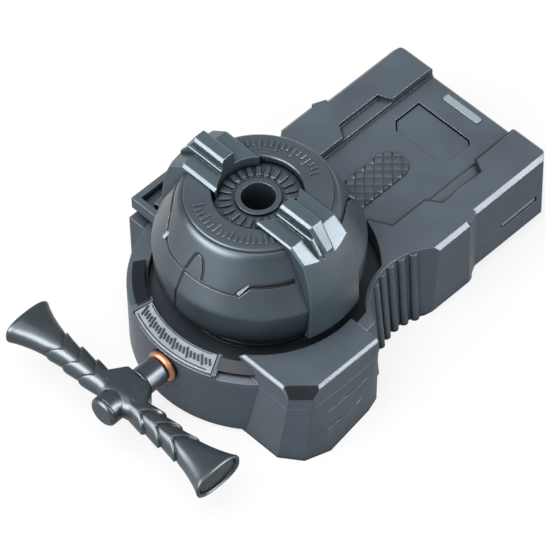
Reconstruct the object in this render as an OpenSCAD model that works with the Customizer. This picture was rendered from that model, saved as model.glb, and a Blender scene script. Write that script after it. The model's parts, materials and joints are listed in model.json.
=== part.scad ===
// Hand-held spinning top launcher: a round housing with a flat grip behind it.
// A pull cord turns a reel, and the reel turns a domed head with two claws.
// All lengths are in millimetres. +Z is the spin axis, -X is the way the cord is pulled,
// and the origin lies on the spin axis at the flat underside.

/* [Housing] */
// Radius of the round front cup
cup_r = 37.2; // [36.4:0.2:38.4]
// Height of the deck and of the grip above the underside
casing_h = 27.3; // [26.6:0.1:28.2]
// Height of the parting line between the lower and the upper casing
split_h = 11.4; // [10.6:0.1:11.8]
// Thickness of the casing walls
wall = 2.2; // [1.8:0.1:2.6]
// Thickness of the casing floor
floor_t = 2.4; // [2:0.1:2.6]
// Radius of the well that the head turns in
well_r = 33.4; // [32.6:0.1:33.8]
// Height of the well's floor
well_floor_z = 19.2; // [18.8:0.1:19.6]
// Height of the underside of the front collar
collar_z = 20.8; // [20.5:0.1:21.1]
// Radius of the round opening in the front collar
collar_hole_r = 31.2; // [30.9:0.1:32]
// Distance behind the spin axis at which the collar ends
collar_end_x = 4.3; // [3:0.1:6]

/* [Ears] */
// Half width over the near ear at the deck
ear_near_y = 41.4; // [40.5:0.1:42.5]
// Half width over the near ear at the underside
ear_foot_y = 44.2; // [43:0.1:46]
// Distance of the near ear's front face ahead of the axis at the deck
ear_near_front = 25.6; // [24.8:0.1:26.5]
// Distance of the near ear's front face ahead of the axis at the underside
ear_foot_front = 29.2; // [28:0.1:30]
// Half width over the far ear
ear_far_y = 42.8; // [41.5:0.1:43.5]
// Distance of the far ear's front face ahead of the axis
ear_far_front = 8.3; // [7.5:0.1:9.5]
// Distance of the far ear's rear face behind the axis
ear_far_rear = 11; // [9:0.1:12]

/* [Grip] */
// Distance from the spin axis to the rear end of the grip
grip_end = 85.2; // [82:0.2:90]
// Half width of the wide part of the grip
grip_half = 31.1; // [30:0.1:33]
// How far the rear part of the grip is set in on each side
rear_set_in = 1.7; // [1.2:0.1:3]
// Distance from the spin axis to the rear end of the wide part
grip_step_x = 51.3; // [49:0.1:53]
// Half width of the channel between the two rails
channel_half = 16.2; // [15:0.1:17]
// Depth of the channel below the rails
channel_d = 3; // [2.4:0.1:3.4]
// Radius of the finger scallop at the underside
scallop_foot_r = 17.3; // [16.5:0.1:17.8]
// Radius of the finger scallop at the top
scallop_top_r = 19.3; // [18.5:0.1:19.6]
// Number of upright ribs in each finger scallop
scallop_ribs = 5; // [3:1:6]

/* [Head] */
// Radius of the domed head
dome_r = 29.6; // [29.2:0.1:30.4]
// Height of the bottom edge of the dome
dome_foot_z = 28.8; // [28.5:0.1:29.6]
// Height at which the dome's slanting shoulder begins
shoulder_z = 40.8; // [40:0.1:43]
// Wall thickness of the dome
dome_wall = 2.2; // [1.8:0.1:2.4]
// Height of the top of the round plate
plate_top_z = 59.1; // [58.8:0.1:59.8]
// Radius of the round plate on top of the dome
plate_r = 20.5; // [19.8:0.1:21]
// Thickness of the round plate
plate_t = 2.5; // [2.2:0.1:2.8]
// Radius of the recess in the round plate
recess_r = 12.6; // [12.2:0.1:13.2]
// Radius of the hole in the hub, where the spinning top's stem goes
hub_bore_r = 4.8; // [4.7:0.05:5]
// Width of a claw
claw_w = 17.2; // [16.5:0.1:19]
// Height of a claw's side strips above the round plate
claw_h = 1.2; // [0.8:0.1:1.6]
// Height of a claw's middle rib above the round plate
rib_h = 5.8; // [4:0.1:6.5]

/* [Reel and cord] */
// Radius of the reel's drum
drum_r = 9.4; // [8.8:0.1:9.8]
// Radius of the reel's lower flange
flange_r = 17; // [14:0.1:17.6]
// Diameter of the cord
cord_d = 1.2; // [1:0.05:1.25]
// Turns of cord on the drum
cord_turns = 7; // [5:1:7]
// Radius of the axle
axle_r = 3; // [2.6:0.05:3.1]
// Height of the cord's hole in the front wall
cord_z = 17.2; // [16.8:0.1:17.4]

/* [Handle] */
// Distance from the spin axis to the handle's bar
bar_x = 53.5; // [52:0.1:56]
// Length of the handle's bar
bar_len = 76; // [66:0.5:80]
// Radius of a grip sleeve at its waist
sleeve_r = 4; // [3.7:0.1:4.4]
// Width of the flared end of a grip sleeve
flare_w = 16.5; // [14:0.1:17]
// Thickness of the flared end of a grip sleeve
flare_t = 9.5; // [8.8:0.1:10]
// Radius of the handle's neck
neck_r = 4.2; // [3.8:0.1:4.4]
// Radius of the round nub at the front of the handle
nub_r = 4.5; // [4.3:0.1:5]

/* [Hidden] */
$fn = 96;
// Facets of small round things
small_fn = 48;
// Facets of the round ends inside a hull
hull_fn = 32;
// How far a cutting shape runs past the surface it cuts
over = 1;
// Radial gap between pieces that turn against each other
run_gap = 0.05;
// Gap between pieces that are assembled and stay put
fit_gap = 0.05;
// Gap that keeps moving pieces clear of the rest
free_gap = 0.3;
// Width and depth of a fine seam or step
seam = 0.4;
// Reach of the slabs that slice the housing
reach = 2 * grip_end;

// Colours
plastic = [0.38, 0.43, 0.47];
dark_plastic = [0.2, 0.23, 0.25];
pale_plastic = [0.62, 0.68, 0.71];
copper = [0.67, 0.43, 0.33];
steel = [0.62, 0.64, 0.66];
brass = [0.72, 0.6, 0.36];
cord_colour = [0.86, 0.87, 0.85];

// Housing: bevels and small steps
foot_bevel = 1.2;
rear_bevel = 3.4;
top_bevel = 1.2;
edge_bevel = 0.8;
corner_bevel = 2.4;
// Length of the slant between the wide part and the rear part of the grip
grip_slant = 4;
rear_half = grip_half - rear_set_in;
neck_out = 1.9;
neck_half = grip_half + neck_out;
// Places of the finger scallops, and their ribs
scallop_x = 25.3;
scallop_off = 13.4;
scallop_y = grip_half + scallop_off;
scallop_wall = 1.2;
scallop_rib_r = 1.4;
scallop_rib_step = 11.5;
// Slope of the front rim, with the angles at which it starts and ends
slope_in_z = 25.4;
slope_out_z = 23.3;
slope_from = 100;
slope_to = 240;
// Angles of the label seat, of the scoop beside it and of the dark pocket
label_from = 155;
label_to = 204;
scoop_from = 98;
scoop_to = 152;
scoop_d = 2;
pocket_from = 206;
pocket_to = 232;
pocket_d = 1.6;
label_t = 1;
// Near ear: cut corners, the bulge of its foot and the notch in its corner
ear_root_y = 14;
ear_corner = 4.4;
ear_belly_x = 17.2;
ear_notch = 8.2;
ear_notch_tilt = 43;
ear_line_zs = [9, 15.6];
// Far ear: its lower step, the slot between the two blocks and the hollow in its top
far_step = 1.2;
far_slot_z = 19.8;
far_slot_h = 3.4;
far_slot_d = 3.6;
far_hollow_d = 2.6;
far_rim = 1.9;
// Slot along the grip's sides at the parting line
side_slot_h = 2.2;
side_slot_d = 0.9;
side_slot_x = 66;
// Inner chamber of the housing and the hollow of the grip
chamber_r = cup_r - wall - run_gap;
well_floor_t = 1.2;
well_hole_r = 21.4;
well_guard_t = 1.2;
cavity_front_x = 37.6;
cavity_front_in = 6.6;
cavity_front_half = grip_half - cavity_front_in;
channel_z = casing_h - channel_d;

// Grip details: pockets beside the channel, thumb pad, cover plate and rear insert
pocket_out = 4.1;
pocket_x0 = 48.4;
pocket_x1 = 68.9;
pocket_step = 1.3;
channel_x0 = 26;
channel_cut = 3.2;
// The fittings on the channel floor sit a little off its middle
floor_mid_y = 1;
pad_x0 = 34;
pad_x1 = 57.4;
pad_half = 5.3;
pad_t = 1.5;
pad_proud = 0.5;
cover_x0 = 63;
cover_x1 = 74.6;
cover_half = 10.4;
cover_t = 1.2;
cover_corner = 2.6;
insert_x0 = 80.4;
insert_x1 = 82.8;
insert_half = 6.8;
insert_t = 1.4;
insert_proud = 0.3;

// Screws
screw_r = 1.4;
screw_head_r = 2.7;
screw_head_h = 1.5;
screw_sink = 2;
screw_len = 15;
boss_r = 3.4;
socket_r = 1.3;
small_screw_r = 1;
small_head_r = 1.9;
small_head_h = 1;
small_screw_len = 5.4;
screw_places = [
    [-ear_belly_x + ear_corner, -(ear_near_y - boss_r - seam)],
    [collar_end_x - screw_r, ear_far_y - boss_r - seam],
    [grip_step_x - 2 * boss_r, -(grip_half - wall - 0.8 * boss_r)],
    [grip_step_x - 2 * boss_r, grip_half - wall - 0.8 * boss_r],
    [grip_end - wall - 2 * boss_r, -(rear_half - rear_bevel - 0.8 * boss_r)],
    [grip_end - wall - 2 * boss_r, rear_half - rear_bevel - 0.8 * boss_r]
];

// Axle, spring and reel, from the floor upwards
axle_foot_r = 5;
axle_foot_h = 1.4;
barrel_h = 5;
barrel_r = 19.6;
barrel_wall = 1.2;
barrel_lug_r = 23.4;
barrel_lug_w = 7;
barrel_lug_t = 1.6;
spring_h = 4;
spring_t = 0.45;
spring_turns = 6;
spring_gap = 0.8;
reel_hub_r = 4.6;
flange_t = 1.2;
cord_gap = 0.45;
// Gap between the drum and the turns on it
cord_off = 0.15;
cord_pitch = cord_d + cord_gap;
drum_spare_share = 1;
relief_wall = 1.4;
relief_d = 8;
barrel_top = floor_t + barrel_h;
flange_z = barrel_top + free_gap;
drum_z = flange_z + flange_t;
drum_h = (cord_turns + drum_spare_share) * cord_pitch;
reel_top = drum_z + drum_h;
cover_disc_t = 1.2;
cover_disc_r = 15.4;

// Pawls and ratchet
pawl_place_r = 12;
pawl_t = 2;
pawl_eye_r = 2.2;
pawl_pin_r = 1.2;
pawl_tip_r = 17.4;
pawl_tip_a = 48;
pawl_tip_w = 1.3;
pin_head_r = 1.9;
pin_head_h = 0.5;
pawl_z = reel_top + cover_disc_t + free_gap;
pawl_top = pawl_z + pawl_t;
ratchet_in_r = 16.6;
ratchet_tooth = 1.6;
ratchet_teeth = 12;
ratchet_lead_a = 3.4;
ratchet_out_r = 20.4;
web_z = pawl_top + pin_head_h + 2 * free_gap;
web_t = 2;
web_top = web_z + web_t;
guard_top = web_z - 3 * free_gap;

// Hub of the head
hub_r = 6.4;
hub_h = 10.2;
hub_top = web_top + hub_h;
bush_r = 4.4;
bush_z = web_z - free_gap;
axle_over_hub = 3;
axle_top = hub_top + axle_over_hub;
washer_r = 4.1;
washer_t = 0.6;
cap_r = 2.6;
cap_h = 1.8;
cap_clear = 1.2;
bore_floor_z = axle_top + washer_t + cap_h + cap_clear;
hub_ring = 0.8;
disc_t = 3.2;
disc_flange_r = 15;
disc_flange_t = 1.6;
plate_z = plate_top_z - plate_t;
recess_d = 2.7;
disc_top = plate_top_z - recess_d;
roof_z = plate_z - dome_wall;
hub_ring_top = disc_top + hub_ring;
// Step at the foot of the dome, and the bend and the brow of its shoulder
foot_in = 1.2;
foot_step_h = 1.6;
skirt_draft = 0.4;
shoulder_bend = 0.7;
brow_w = 1.1;
brow_drop = 0.9;
brow_r = plate_r + brow_w;
brow_z = plate_top_z - brow_drop;
shoulder_slope = (dome_r - brow_r) / (brow_z - shoulder_z);
dome_boss_r = 2.6;
dome_boss_place_r = dome_r - foot_in - dome_wall - dome_boss_r - seam;
// The bosses end in the wall of the shoulder, straight above their screws
dome_boss_top = shoulder_z + (dome_r - dome_boss_place_r - dome_boss_r - seam) / shoulder_slope;
dial_marks = 24;
dial_mark_w = 0.9;
dial_mark_h = 0.3;

// Claws
claw_in_r = 11.2;
rib_in_r = 10.5;
claw_in_bevel = 0.8;
claw_slant_y = plate_r + 2 * seam;
rib_slant_y = 22.5;
claw_inset = 3.3;
claw_out = dome_r - claw_inset;
rib_inset = 2;
rib_out = dome_r - rib_inset;
claw_slant_drop = 2.1;
claw_slant_z = plate_top_z - claw_slant_drop;
pillar_over = 1.4;
pillar_out = dome_r + pillar_over;
pillar_foot_z = dome_foot_z + 2 * foot_in;
pillar_knee_drop = 9;
pillar_knee_z = plate_top_z - pillar_knee_drop;
pillar_flare = 2.4;
rib_x0 = -2.7;
rib_w = 4.6;
rib_bevel = 0.9;
ledge_w = 0.6;
ledge_h = 2.4;
claw_groove_d = 0.9;
peg_r = 1.7;
peg_h = 5.2;
peg_y = 16.6;

// Cord exit, bumper ring and handle
eyelet_r = 1.8;
eyelet_lip_r = 2.3;
eyelet_lip_t = 0.6;
eyelet_bore_r = 1;
eyelet_in = 3;
ring_r = 3.6;
ring_t = 2.4;
// The ring lies in a shallow seat round the eyelet
ring_seat_half = 0.95;
ring_x = -(cup_r + ring_t / 2 - seam);
neck_end_x = ring_x - ring_t / 2 - free_gap;
neck_bore_r = 1;
cross_half = 8;
cross_w = 9;
cross_h = 8.4;
web_out = 17;
nub_front = 7.7;
nub_cap_t = 1.6;
knot_r = 2;
rod_r = 2.4;
sleeve_in = 9;
scales = 5;
scale_step = 3.6;
scale_rise = 0.8;
flare_end_t = 2;
end_rim = 1.1;
end_recess = 0.7;
end_cap_t = 1.4;
half_bar = bar_len / 2;

function polar(r, a) = [r * cos(a), r * sin(a)];

// A slab of the given heights, wide enough to slice the whole housing
module slab(z0, z1) {
    translate([-reach, -reach, z0])
        cube([2 * reach, 2 * reach, z1 - z0]);
}

// A round piece that stands from height z0 to z1
module post(r, z0, z1) {
    translate([0, 0, z0])
        cylinder(h = z1 - z0, r = r);
}

// A ring between two radii and two heights
module tube(r_out, r_in, z0, z1) {
    difference() {
        post(r_out, z0, z1);
        post(r_in, z0 - over, z1 + over);
    }
}

// Bars that take a bevel off an edge along X, Y or Z
module bevel_x(x0, x1, y, z, size) {
    side = size * sqrt(2);
    translate([(x0 + x1) / 2, y, z])
        rotate([45, 0, 0])
            cube([x1 - x0, side, side], center = true);
}

module bevel_y(x, y0, y1, z, size) {
    side = size * sqrt(2);
    translate([x, (y0 + y1) / 2, z])
        rotate([0, 45, 0])
            cube([side, y1 - y0, side], center = true);
}

module bevel_z(x, y, z0, z1, size) {
    side = size * sqrt(2);
    translate([x, y, (z0 + z1) / 2])
        rotate([0, 0, 45])
            cube([side, side, z1 - z0], center = true);
}

// The cup's sloping front rim, sunk by the given depth between two angles
module rim_cut(from, to, sink) {
    rotate([0, 0, from])
        rotate_extrude(angle = to - from)
            polygon([
                [collar_hole_r - over, slope_in_z - sink],
                [collar_hole_r, slope_in_z - sink],
                [cup_r, slope_out_z - sink],
                [cup_r + over, slope_out_z - sink],
                [cup_r + over, casing_h + over],
                [collar_hole_r - over, casing_h + over]
            ]);
}

module cup_form() {
    difference() {
        rotate_extrude()
            polygon([
                [0, 0],
                [cup_r - foot_bevel, 0],
                [cup_r, foot_bevel],
                [cup_r, casing_h],
                [0, casing_h]
            ]);
        rim_cut(slope_from, slope_to, 0);
        rim_cut(scoop_from, scoop_to, scoop_d);
        rim_cut(pocket_from, pocket_to, pocket_d);
        rim_cut(label_from, label_to, label_t);
    }
}

// The near ear leans outwards towards its foot
module near_ear_form() {
    difference() {
        hull() {
            linear_extrude(seam)
                polygon([
                    [-ear_foot_front, -ear_root_y],
                    [-ear_foot_front, -(ear_foot_y - 2 * ear_corner)],
                    [-ear_foot_front + ear_corner, -(ear_foot_y - 0.6 * ear_corner)],
                    [-ear_belly_x, -ear_foot_y],
                    [collar_end_x - ear_corner, -(ear_foot_y - 0.5 * ear_corner)],
                    [collar_end_x, -ear_near_y + 2 * seam],
                    [collar_end_x, -ear_root_y]
                ]);
            translate([0, 0, casing_h - seam])
                linear_extrude(seam)
                    polygon([
                        [-ear_near_front, -ear_root_y],
                        [-ear_near_front, -(ear_near_y - ear_corner)],
                        [-ear_near_front + ear_corner, -ear_near_y],
                        [collar_end_x, -ear_near_y],
                        [collar_end_x, -ear_root_y]
                    ]);
        }
        translate([-ear_near_front, -(ear_near_y - ear_notch), casing_h])
            rotate([0, 0, -45])
                rotate([ear_notch_tilt, 0, 0])
                    translate([-ear_notch, -3 * ear_notch, 0])
                        cube([4 * ear_notch, 3 * ear_notch, 2 * ear_notch]);
        bevel_x(-ear_near_front, collar_end_x + over, -ear_near_y, casing_h, edge_bevel);
        bevel_y(-ear_near_front, -ear_near_y, -ear_root_y, casing_h, edge_bevel);
        for (z = ear_line_zs)
            translate([-ear_belly_x, -ear_foot_y - over, z])
                cube([ear_belly_x + collar_end_x + over, over + ear_foot_y - ear_near_y
                    - (casing_h - z) / casing_h * (ear_foot_y - ear_near_y) / 2, seam]);
    }
}

module far_ear_form() {
    difference() {
        union() {
            linear_extrude(far_slot_z)
                polygon([
                    [-ear_far_front - far_step, ear_root_y],
                    [-ear_far_front - far_step, ear_far_y],
                    [ear_far_rear, ear_far_y],
                    [ear_far_rear + ear_corner, neck_half],
                    [ear_far_rear + ear_corner, ear_root_y]
                ]);
            linear_extrude(casing_h)
                polygon([
                    [-ear_far_front, ear_root_y],
                    [-ear_far_front, ear_far_y],
                    [ear_far_rear, ear_far_y],
                    [ear_far_rear + ear_corner, neck_half],
                    [ear_far_rear + ear_corner, ear_root_y]
                ]);
        }
        translate([-ear_far_front - over, cup_r - wall, far_slot_z])
            cube([far_slot_d + over, ear_far_y, far_slot_h]);
        translate([far_rim - ear_far_front, well_r, casing_h - far_hollow_d])
            cube([ear_far_front + collar_end_x - 2 * far_rim,
                ear_far_y - well_r - far_rim, far_hollow_d + over]);
        bevel_x(-ear_far_front - far_step, ear_far_rear, ear_far_y, 0, foot_bevel);
    }
}

module scallop_cones(grow) {
    for (side = [-1, 1])
        translate([scallop_x, side * scallop_y, 0])
            cylinder(h = casing_h, r1 = scallop_foot_r + grow, r2 = scallop_top_r + grow);
}

// Upright ribs that follow the slanting wall of a scallop
module scallop_rib_row() {
    middle_r = (scallop_foot_r + scallop_top_r) / 2;
    tilt = atan((scallop_top_r - scallop_foot_r) / casing_h);
    intersection() {
        slab(0, casing_h - seam);
        for (side = [-1, 1])
            for (i = [0 : scallop_ribs - 1])
                translate([scallop_x, side * scallop_y, casing_h / 2])
                    rotate([0, 0, -side * 90 + (i - (scallop_ribs - 1) / 2) * scallop_rib_step])
                        translate([middle_r + scallop_rib_r / 4, 0, 0])
                            rotate([0, tilt, 0])
                                cylinder(h = casing_h + 4 * over, r = scallop_rib_r,
                                    center = true, $fn = small_fn);
    }
}

module grip_form() {
    slant_x = grip_step_x + grip_slant;
    difference() {
        linear_extrude(casing_h)
            polygon([
                [0, -neck_half],
                [scallop_x, -neck_half],
                [scallop_x, -grip_half],
                [grip_step_x, -grip_half],
                [slant_x, -rear_half],
                [grip_end, -rear_half],
                [grip_end, rear_half],
                [slant_x, rear_half],
                [grip_step_x, grip_half],
                [scallop_x, grip_half],
                [scallop_x, neck_half],
                [0, neck_half]
            ]);
        for (side = [-1, 1]) {
            bevel_x(scallop_x, grip_step_x, side * grip_half, casing_h, top_bevel);
            bevel_x(slant_x, grip_end + over, side * rear_half, casing_h, top_bevel);
            bevel_x(scallop_x, slant_x, side * grip_half, 0, foot_bevel);
            bevel_x(slant_x - grip_slant / 2, grip_end + over, side * rear_half, 0, rear_bevel);
            bevel_z(grip_end, side * rear_half, -over, casing_h + over, corner_bevel);
            translate([side_slot_x, side * rear_half - side_slot_d, split_h - side_slot_h / 2])
                cube([grip_end - 2 * corner_bevel - side_slot_x, 2 * side_slot_d, side_slot_h]);
        }
        bevel_y(grip_end, -rear_half - over, rear_half + over, casing_h, edge_bevel);
        bevel_y(grip_end, -rear_half - over, rear_half + over, 0, rear_bevel);
        bevel_y(grip_end, seam - channel_half, channel_half - seam, channel_z, edge_bevel);
    }
}

// The outside of the whole housing, before it is hollowed and parted
module casing_form() {
    difference() {
        union() {
            cup_form();
            near_ear_form();
            far_ear_form();
            grip_form();
        }
        scallop_cones(0);
    }
    scallop_rib_row();
}

// Round room in the housing that keeps a wall against the scallops
module round_room(r, z0, z1) {
    difference() {
        post(r, z0, z1);
        scallop_cones(scallop_wall);
    }
}

module grip_cavity(z0, z1) {
    inner = grip_half - wall;
    rear_inner = rear_half - rear_bevel;
    translate([0, 0, z0])
        linear_extrude(z1 - z0)
            polygon([
                [cavity_front_x, -cavity_front_half],
                [cavity_front_x + 2 * wall, -inner],
                [grip_step_x - wall / 2, -inner],
                [grip_step_x + grip_slant - wall / 2, -rear_inner],
                [grip_end - wall, -rear_inner],
                [grip_end - wall, rear_inner],
                [grip_step_x + grip_slant - wall / 2, rear_inner],
                [grip_step_x - wall / 2, inner],
                [cavity_front_x + 2 * wall, inner],
                [cavity_front_x, cavity_front_half]
            ]);
}

module screw_bosses(z0, z1) {
    for (p = screw_places)
        translate(p)
            post(boss_r, z0, z1);
}

module screw_holes() {
    for (p = screw_places)
        translate(p) {
            post(screw_head_r + fit_gap, -over, screw_sink + fit_gap);
            post(screw_r + fit_gap, -over, screw_sink + screw_len + 2 * fit_gap);
        }
}

module cord_hole() {
    translate([-cup_r - over, 0, cord_z])
        rotate([0, 90, 0])
            cylinder(h = over + eyelet_in + fit_gap, r = eyelet_r + fit_gap, $fn = small_fn);
    translate([-cup_r - over, 0, cord_z])
        rotate([0, 90, 0])
            cylinder(h = over + eyelet_lip_t + fit_gap, r = eyelet_lip_r + fit_gap, $fn = small_fn);
    translate([-cup_r, 0, cord_z])
        rotate([0, 90, 0])
            tube(ring_r + ring_seat_half, ring_r - ring_seat_half, -over, seam + fit_gap);
}

module lower_casing() {
    color(plastic)
        difference() {
            union() {
                difference() {
                    intersection() {
                        casing_form();
                        slab(0, split_h);
                    }
                    round_room(chamber_r, floor_t, split_h + over);
                    grip_cavity(floor_t, split_h + over);
                }
                screw_bosses(floor_t / 2, split_h);
            }
            screw_holes();
            post(axle_r + fit_gap, -over, floor_t + over);
            post(axle_foot_r + fit_gap, -over, axle_foot_h);
            for (a = [0 : 120 : 240])
                rotate([0, 0, a + 60])
                    translate([barrel_screw_r(), 0, 0])
                        post(small_screw_r + fit_gap, seam, split_h);
        }
}

function barrel_screw_r() = (barrel_r + barrel_lug_r) / 2;

// Half outline of the channel floor and of the side pockets that flank it
module channel_area(grow) {
    half = channel_half + grow;
    polygon([
        [channel_x0, -half + 2 * channel_cut],
        [channel_x0 + 2 * channel_cut, -half + 2 * channel_cut],
        [channel_x0 + 3 * channel_cut, -half],
        [grip_end + over, -half],
        [grip_end + over, half],
        [channel_x0 + 3 * channel_cut, half],
        [channel_x0 + 2 * channel_cut, half - 2 * channel_cut],
        [channel_x0, half - 2 * channel_cut]
    ]);
}

module channel_pockets() {
    for (side = [-1, 1])
        scale([1, side, 1])
            polygon([
                [pocket_x0, channel_half - seam],
                [pocket_x0 + 0.7 * pocket_out, channel_half + pocket_out],
                [pocket_x1 - pocket_out / 2, channel_half + pocket_out],
                [pocket_x1, channel_half - seam]
            ]);
}

module upper_casing() {
    color(plastic)
        difference() {
            union() {
                difference() {
                    intersection() {
                        casing_form();
                        slab(split_h, casing_h);
                    }
                    round_room(chamber_r, split_h - over, well_floor_z - well_floor_t);
                    grip_cavity(split_h - over, channel_z - wall);
                }
                tube(well_hole_r + well_guard_t, well_hole_r, well_floor_z - well_floor_t / 2, guard_top);
                intersection() {
                    screw_bosses(split_h, channel_z - wall / 2);
                    casing_form();
                }
            }
            difference() {
                round_room(well_r, well_floor_z, casing_h + over);
                post(well_hole_r + well_guard_t, well_floor_z, guard_top);
            }
            post(well_hole_r, split_h, casing_h);
            translate([-reach, -reach, collar_z])
                cube([reach + collar_end_x, 2 * reach, casing_h]);
            translate([0, 0, channel_z])
                linear_extrude(channel_d + over)
                    channel_area(0);
            translate([0, 0, channel_z + pocket_step])
                linear_extrude(channel_d + over)
                    channel_pockets();
            translate([0, 0, channel_z - pad_t + pad_proud])
                linear_extrude(channel_d)
                    pad_outline(fit_gap);
            translate([0, 0, channel_z - cover_t])
                linear_extrude(channel_d)
                    cover_outline(fit_gap + seam / 2);
            translate([insert_x0 - fit_gap, floor_mid_y - insert_half - fit_gap,
                channel_z - insert_t + insert_proud])
                cube([insert_x1 - insert_x0 + 2 * fit_gap, 2 * (insert_half + fit_gap), insert_t]);
            screw_holes();
            cord_hole();
        }
}

module front_collar() {
    color(plastic)
        difference() {
            intersection() {
                casing_form();
                translate([-reach, -reach, collar_z])
                    cube([reach + collar_end_x, 2 * reach, casing_h]);
            }
            post(collar_hole_r, collar_z - over, casing_h + over);
            cord_hole();
        }
}

module label_plate() {
    color(pale_plastic)
        intersection() {
            rotate([0, 0, label_from + seam])
                rotate_extrude(angle = label_to - label_from - 2 * seam)
                    polygon([
                        [collar_hole_r + seam, slope_in_z - label_t],
                        [cup_r - seam, slope_out_z - label_t],
                        [cup_r - seam, slope_out_z],
                        [collar_hole_r + seam, slope_in_z]
                    ]);
            rim_cut(label_from, label_to, label_t);
        }
}

module pad_outline(grow) {
    r = pad_half + grow;
    translate([pad_x0 - grow, floor_mid_y - r])
        square([pad_x1 - pad_half - pad_x0 + grow, 2 * r]);
    translate([pad_x1 - pad_half, floor_mid_y])
        circle(r = r);
}

module thumb_pad() {
    color(dark_plastic)
        translate([0, 0, channel_z - pad_t + pad_proud])
            linear_extrude(pad_t)
                pad_outline(0);
}

module cover_outline(grow) {
    x0 = cover_x0 - grow;
    x1 = cover_x1 + grow;
    half = cover_half + grow;
    translate([0, floor_mid_y])
        polygon([
            [x0, -half + cover_corner],
            [x0 + cover_corner, -half],
            [x1 - cover_corner / 2, -half],
            [x1, -half + cover_corner / 2],
            [x1, half],
            [x0 + cover_corner, half],
            [x0, half - cover_corner]
        ]);
}

module cover_plate() {
    color(plastic)
        translate([0, 0, channel_z - cover_t])
            linear_extrude(cover_t)
                cover_outline(0);
}

module rear_insert() {
    color(pale_plastic)
        difference() {
            translate([insert_x0, floor_mid_y - insert_half, channel_z - insert_t + insert_proud])
                cube([insert_x1 - insert_x0, 2 * insert_half, insert_t]);
            for (side = [-1, 1])
                for (x = [insert_x0, insert_x1])
                    bevel_z(x, floor_mid_y + side * insert_half, 0, casing_h, seam);
        }
}

// A pan-head screw that stands on its head, with a slotted drive
module screw(head_r, head_h, shank_r, len, drive_r) {
    difference() {
        union() {
            post(head_r, 0, head_h);
            post(shank_r, 0, head_h + len);
        }
        post(drive_r, -over, head_h / 2);
    }
}

module casing_screws() {
    color(steel)
        for (p = screw_places)
            translate([p.x, p.y, screw_sink - screw_head_h])
                screw(screw_head_r, screw_head_h, screw_r, screw_len, socket_r);
}

module cord_eyelet() {
    color(brass)
        translate([-cup_r, 0, cord_z])
            rotate([0, 90, 0])
                difference() {
                    union() {
                        post(eyelet_r, 0, eyelet_in);
                        post(eyelet_lip_r, 0, eyelet_lip_t);
                    }
                    post(eyelet_bore_r, -over, eyelet_in + over);
                }
}

module bumper_ring() {
    color(copper)
        translate([ring_x, 0, cord_z])
            rotate([0, 90, 0])
                rotate_extrude()
                    translate([ring_r, 0])
                        circle(r = ring_t / 2, $fn = small_fn);
}

module axle() {
    color(steel)
        difference() {
            union() {
                post(axle_r, 0, axle_top);
                post(axle_foot_r, 0, axle_foot_h - fit_gap);
            }
            post(small_screw_r + fit_gap, axle_top - small_screw_len - seam, axle_top + over);
        }
}

module axle_washer() {
    color(steel)
        tube(washer_r, small_screw_r + fit_gap, axle_top, axle_top + washer_t);
}

module axle_screw() {
    color(steel)
        difference() {
            union() {
                post(cap_r, axle_top + washer_t, axle_top + washer_t + cap_h);
                post(small_screw_r, axle_top - small_screw_len, axle_top + washer_t + seam);
            }
            post(socket_r, axle_top + washer_t + cap_h / 2, axle_top + washer_t + cap_h + over);
        }
}

module spring_barrel() {
    color(dark_plastic)
        difference() {
            union() {
                post(barrel_r, floor_t, barrel_top);
                translate([0, 0, floor_t])
                    linear_extrude(barrel_lug_t) {
                        circle(r = barrel_r);
                        for (a = [0 : 120 : 240])
                            rotate(a + 60)
                                translate([0, -barrel_lug_w / 2])
                                    square([barrel_lug_r, barrel_lug_w]);
                    }
            }
            post(barrel_r - barrel_wall, floor_t + seam, barrel_top + over);
            post(axle_foot_r, floor_t - over, barrel_top);
            for (a = [0 : 120 : 240])
                rotate([0, 0, a + 60])
                    translate([barrel_screw_r(), 0, 0])
                        post(small_screw_r + fit_gap, 0, barrel_top);
        }
}

module barrel_screws() {
    color(steel)
        for (a = [0 : 120 : 240])
            rotate([0, 0, a + 60])
                translate([barrel_screw_r(), 0, floor_t + barrel_lug_t + small_head_h])
                    mirror([0, 0, 1])
                        screw(small_head_r, small_head_h, small_screw_r,
                            barrel_lug_t + floor_t / 2, small_screw_r / 2);
}

// A flat strip wound in an even spiral between the reel's hub and the barrel
module spiral_spring() {
    in_r = axle_foot_r + spring_gap;
    out_r = barrel_r - barrel_wall - spring_gap;
    steps = 24;
    turn_r = (out_r - in_r) / spring_turns;
    function at(i, r0) = polar(r0 + turn_r * i / steps, i * 360 / steps);
    last = spring_turns * steps;
    color(steel)
        translate([0, 0, floor_t + 2 * seam])
            linear_extrude(spring_h)
                polygon(concat(
                    [for (i = [0 : last]) at(i, in_r)],
                    [for (i = [last : -1 : 0]) at(i, in_r + spring_t)]
                ));
}

module reel() {
    color(dark_plastic)
        difference() {
            union() {
                post(reel_hub_r, floor_t + free_gap, reel_top);
                tube(drum_r, drum_r - relief_wall, flange_z, reel_top);
                post(drum_r, flange_z, reel_top - relief_d);
                post(flange_r, flange_z, drum_z);
            }
            post(axle_r + run_gap, 0, reel_top + over);
        }
}

module reel_cover() {
    color(dark_plastic)
        difference() {
            post(cover_disc_r, reel_top, reel_top + cover_disc_t);
            post(axle_r + run_gap, reel_top - over, reel_top + cover_disc_t + over);
            for (side = [0, 180])
                rotate([0, 0, side])
                    translate([pawl_place_r, 0, 0])
                        post(pawl_pin_r, reel_top - over, reel_top + cover_disc_t + over);
        }
}

module pawl_pins() {
    color(steel)
        for (side = [0, 180])
            rotate([0, 0, side])
                translate([pawl_place_r, 0, 0]) {
                    post(pawl_pin_r, reel_top, pawl_top + free_gap);
                    post(pin_head_r, pawl_top + free_gap / 2, pawl_top + free_gap / 2 + pin_head_h);
                }
}

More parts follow.
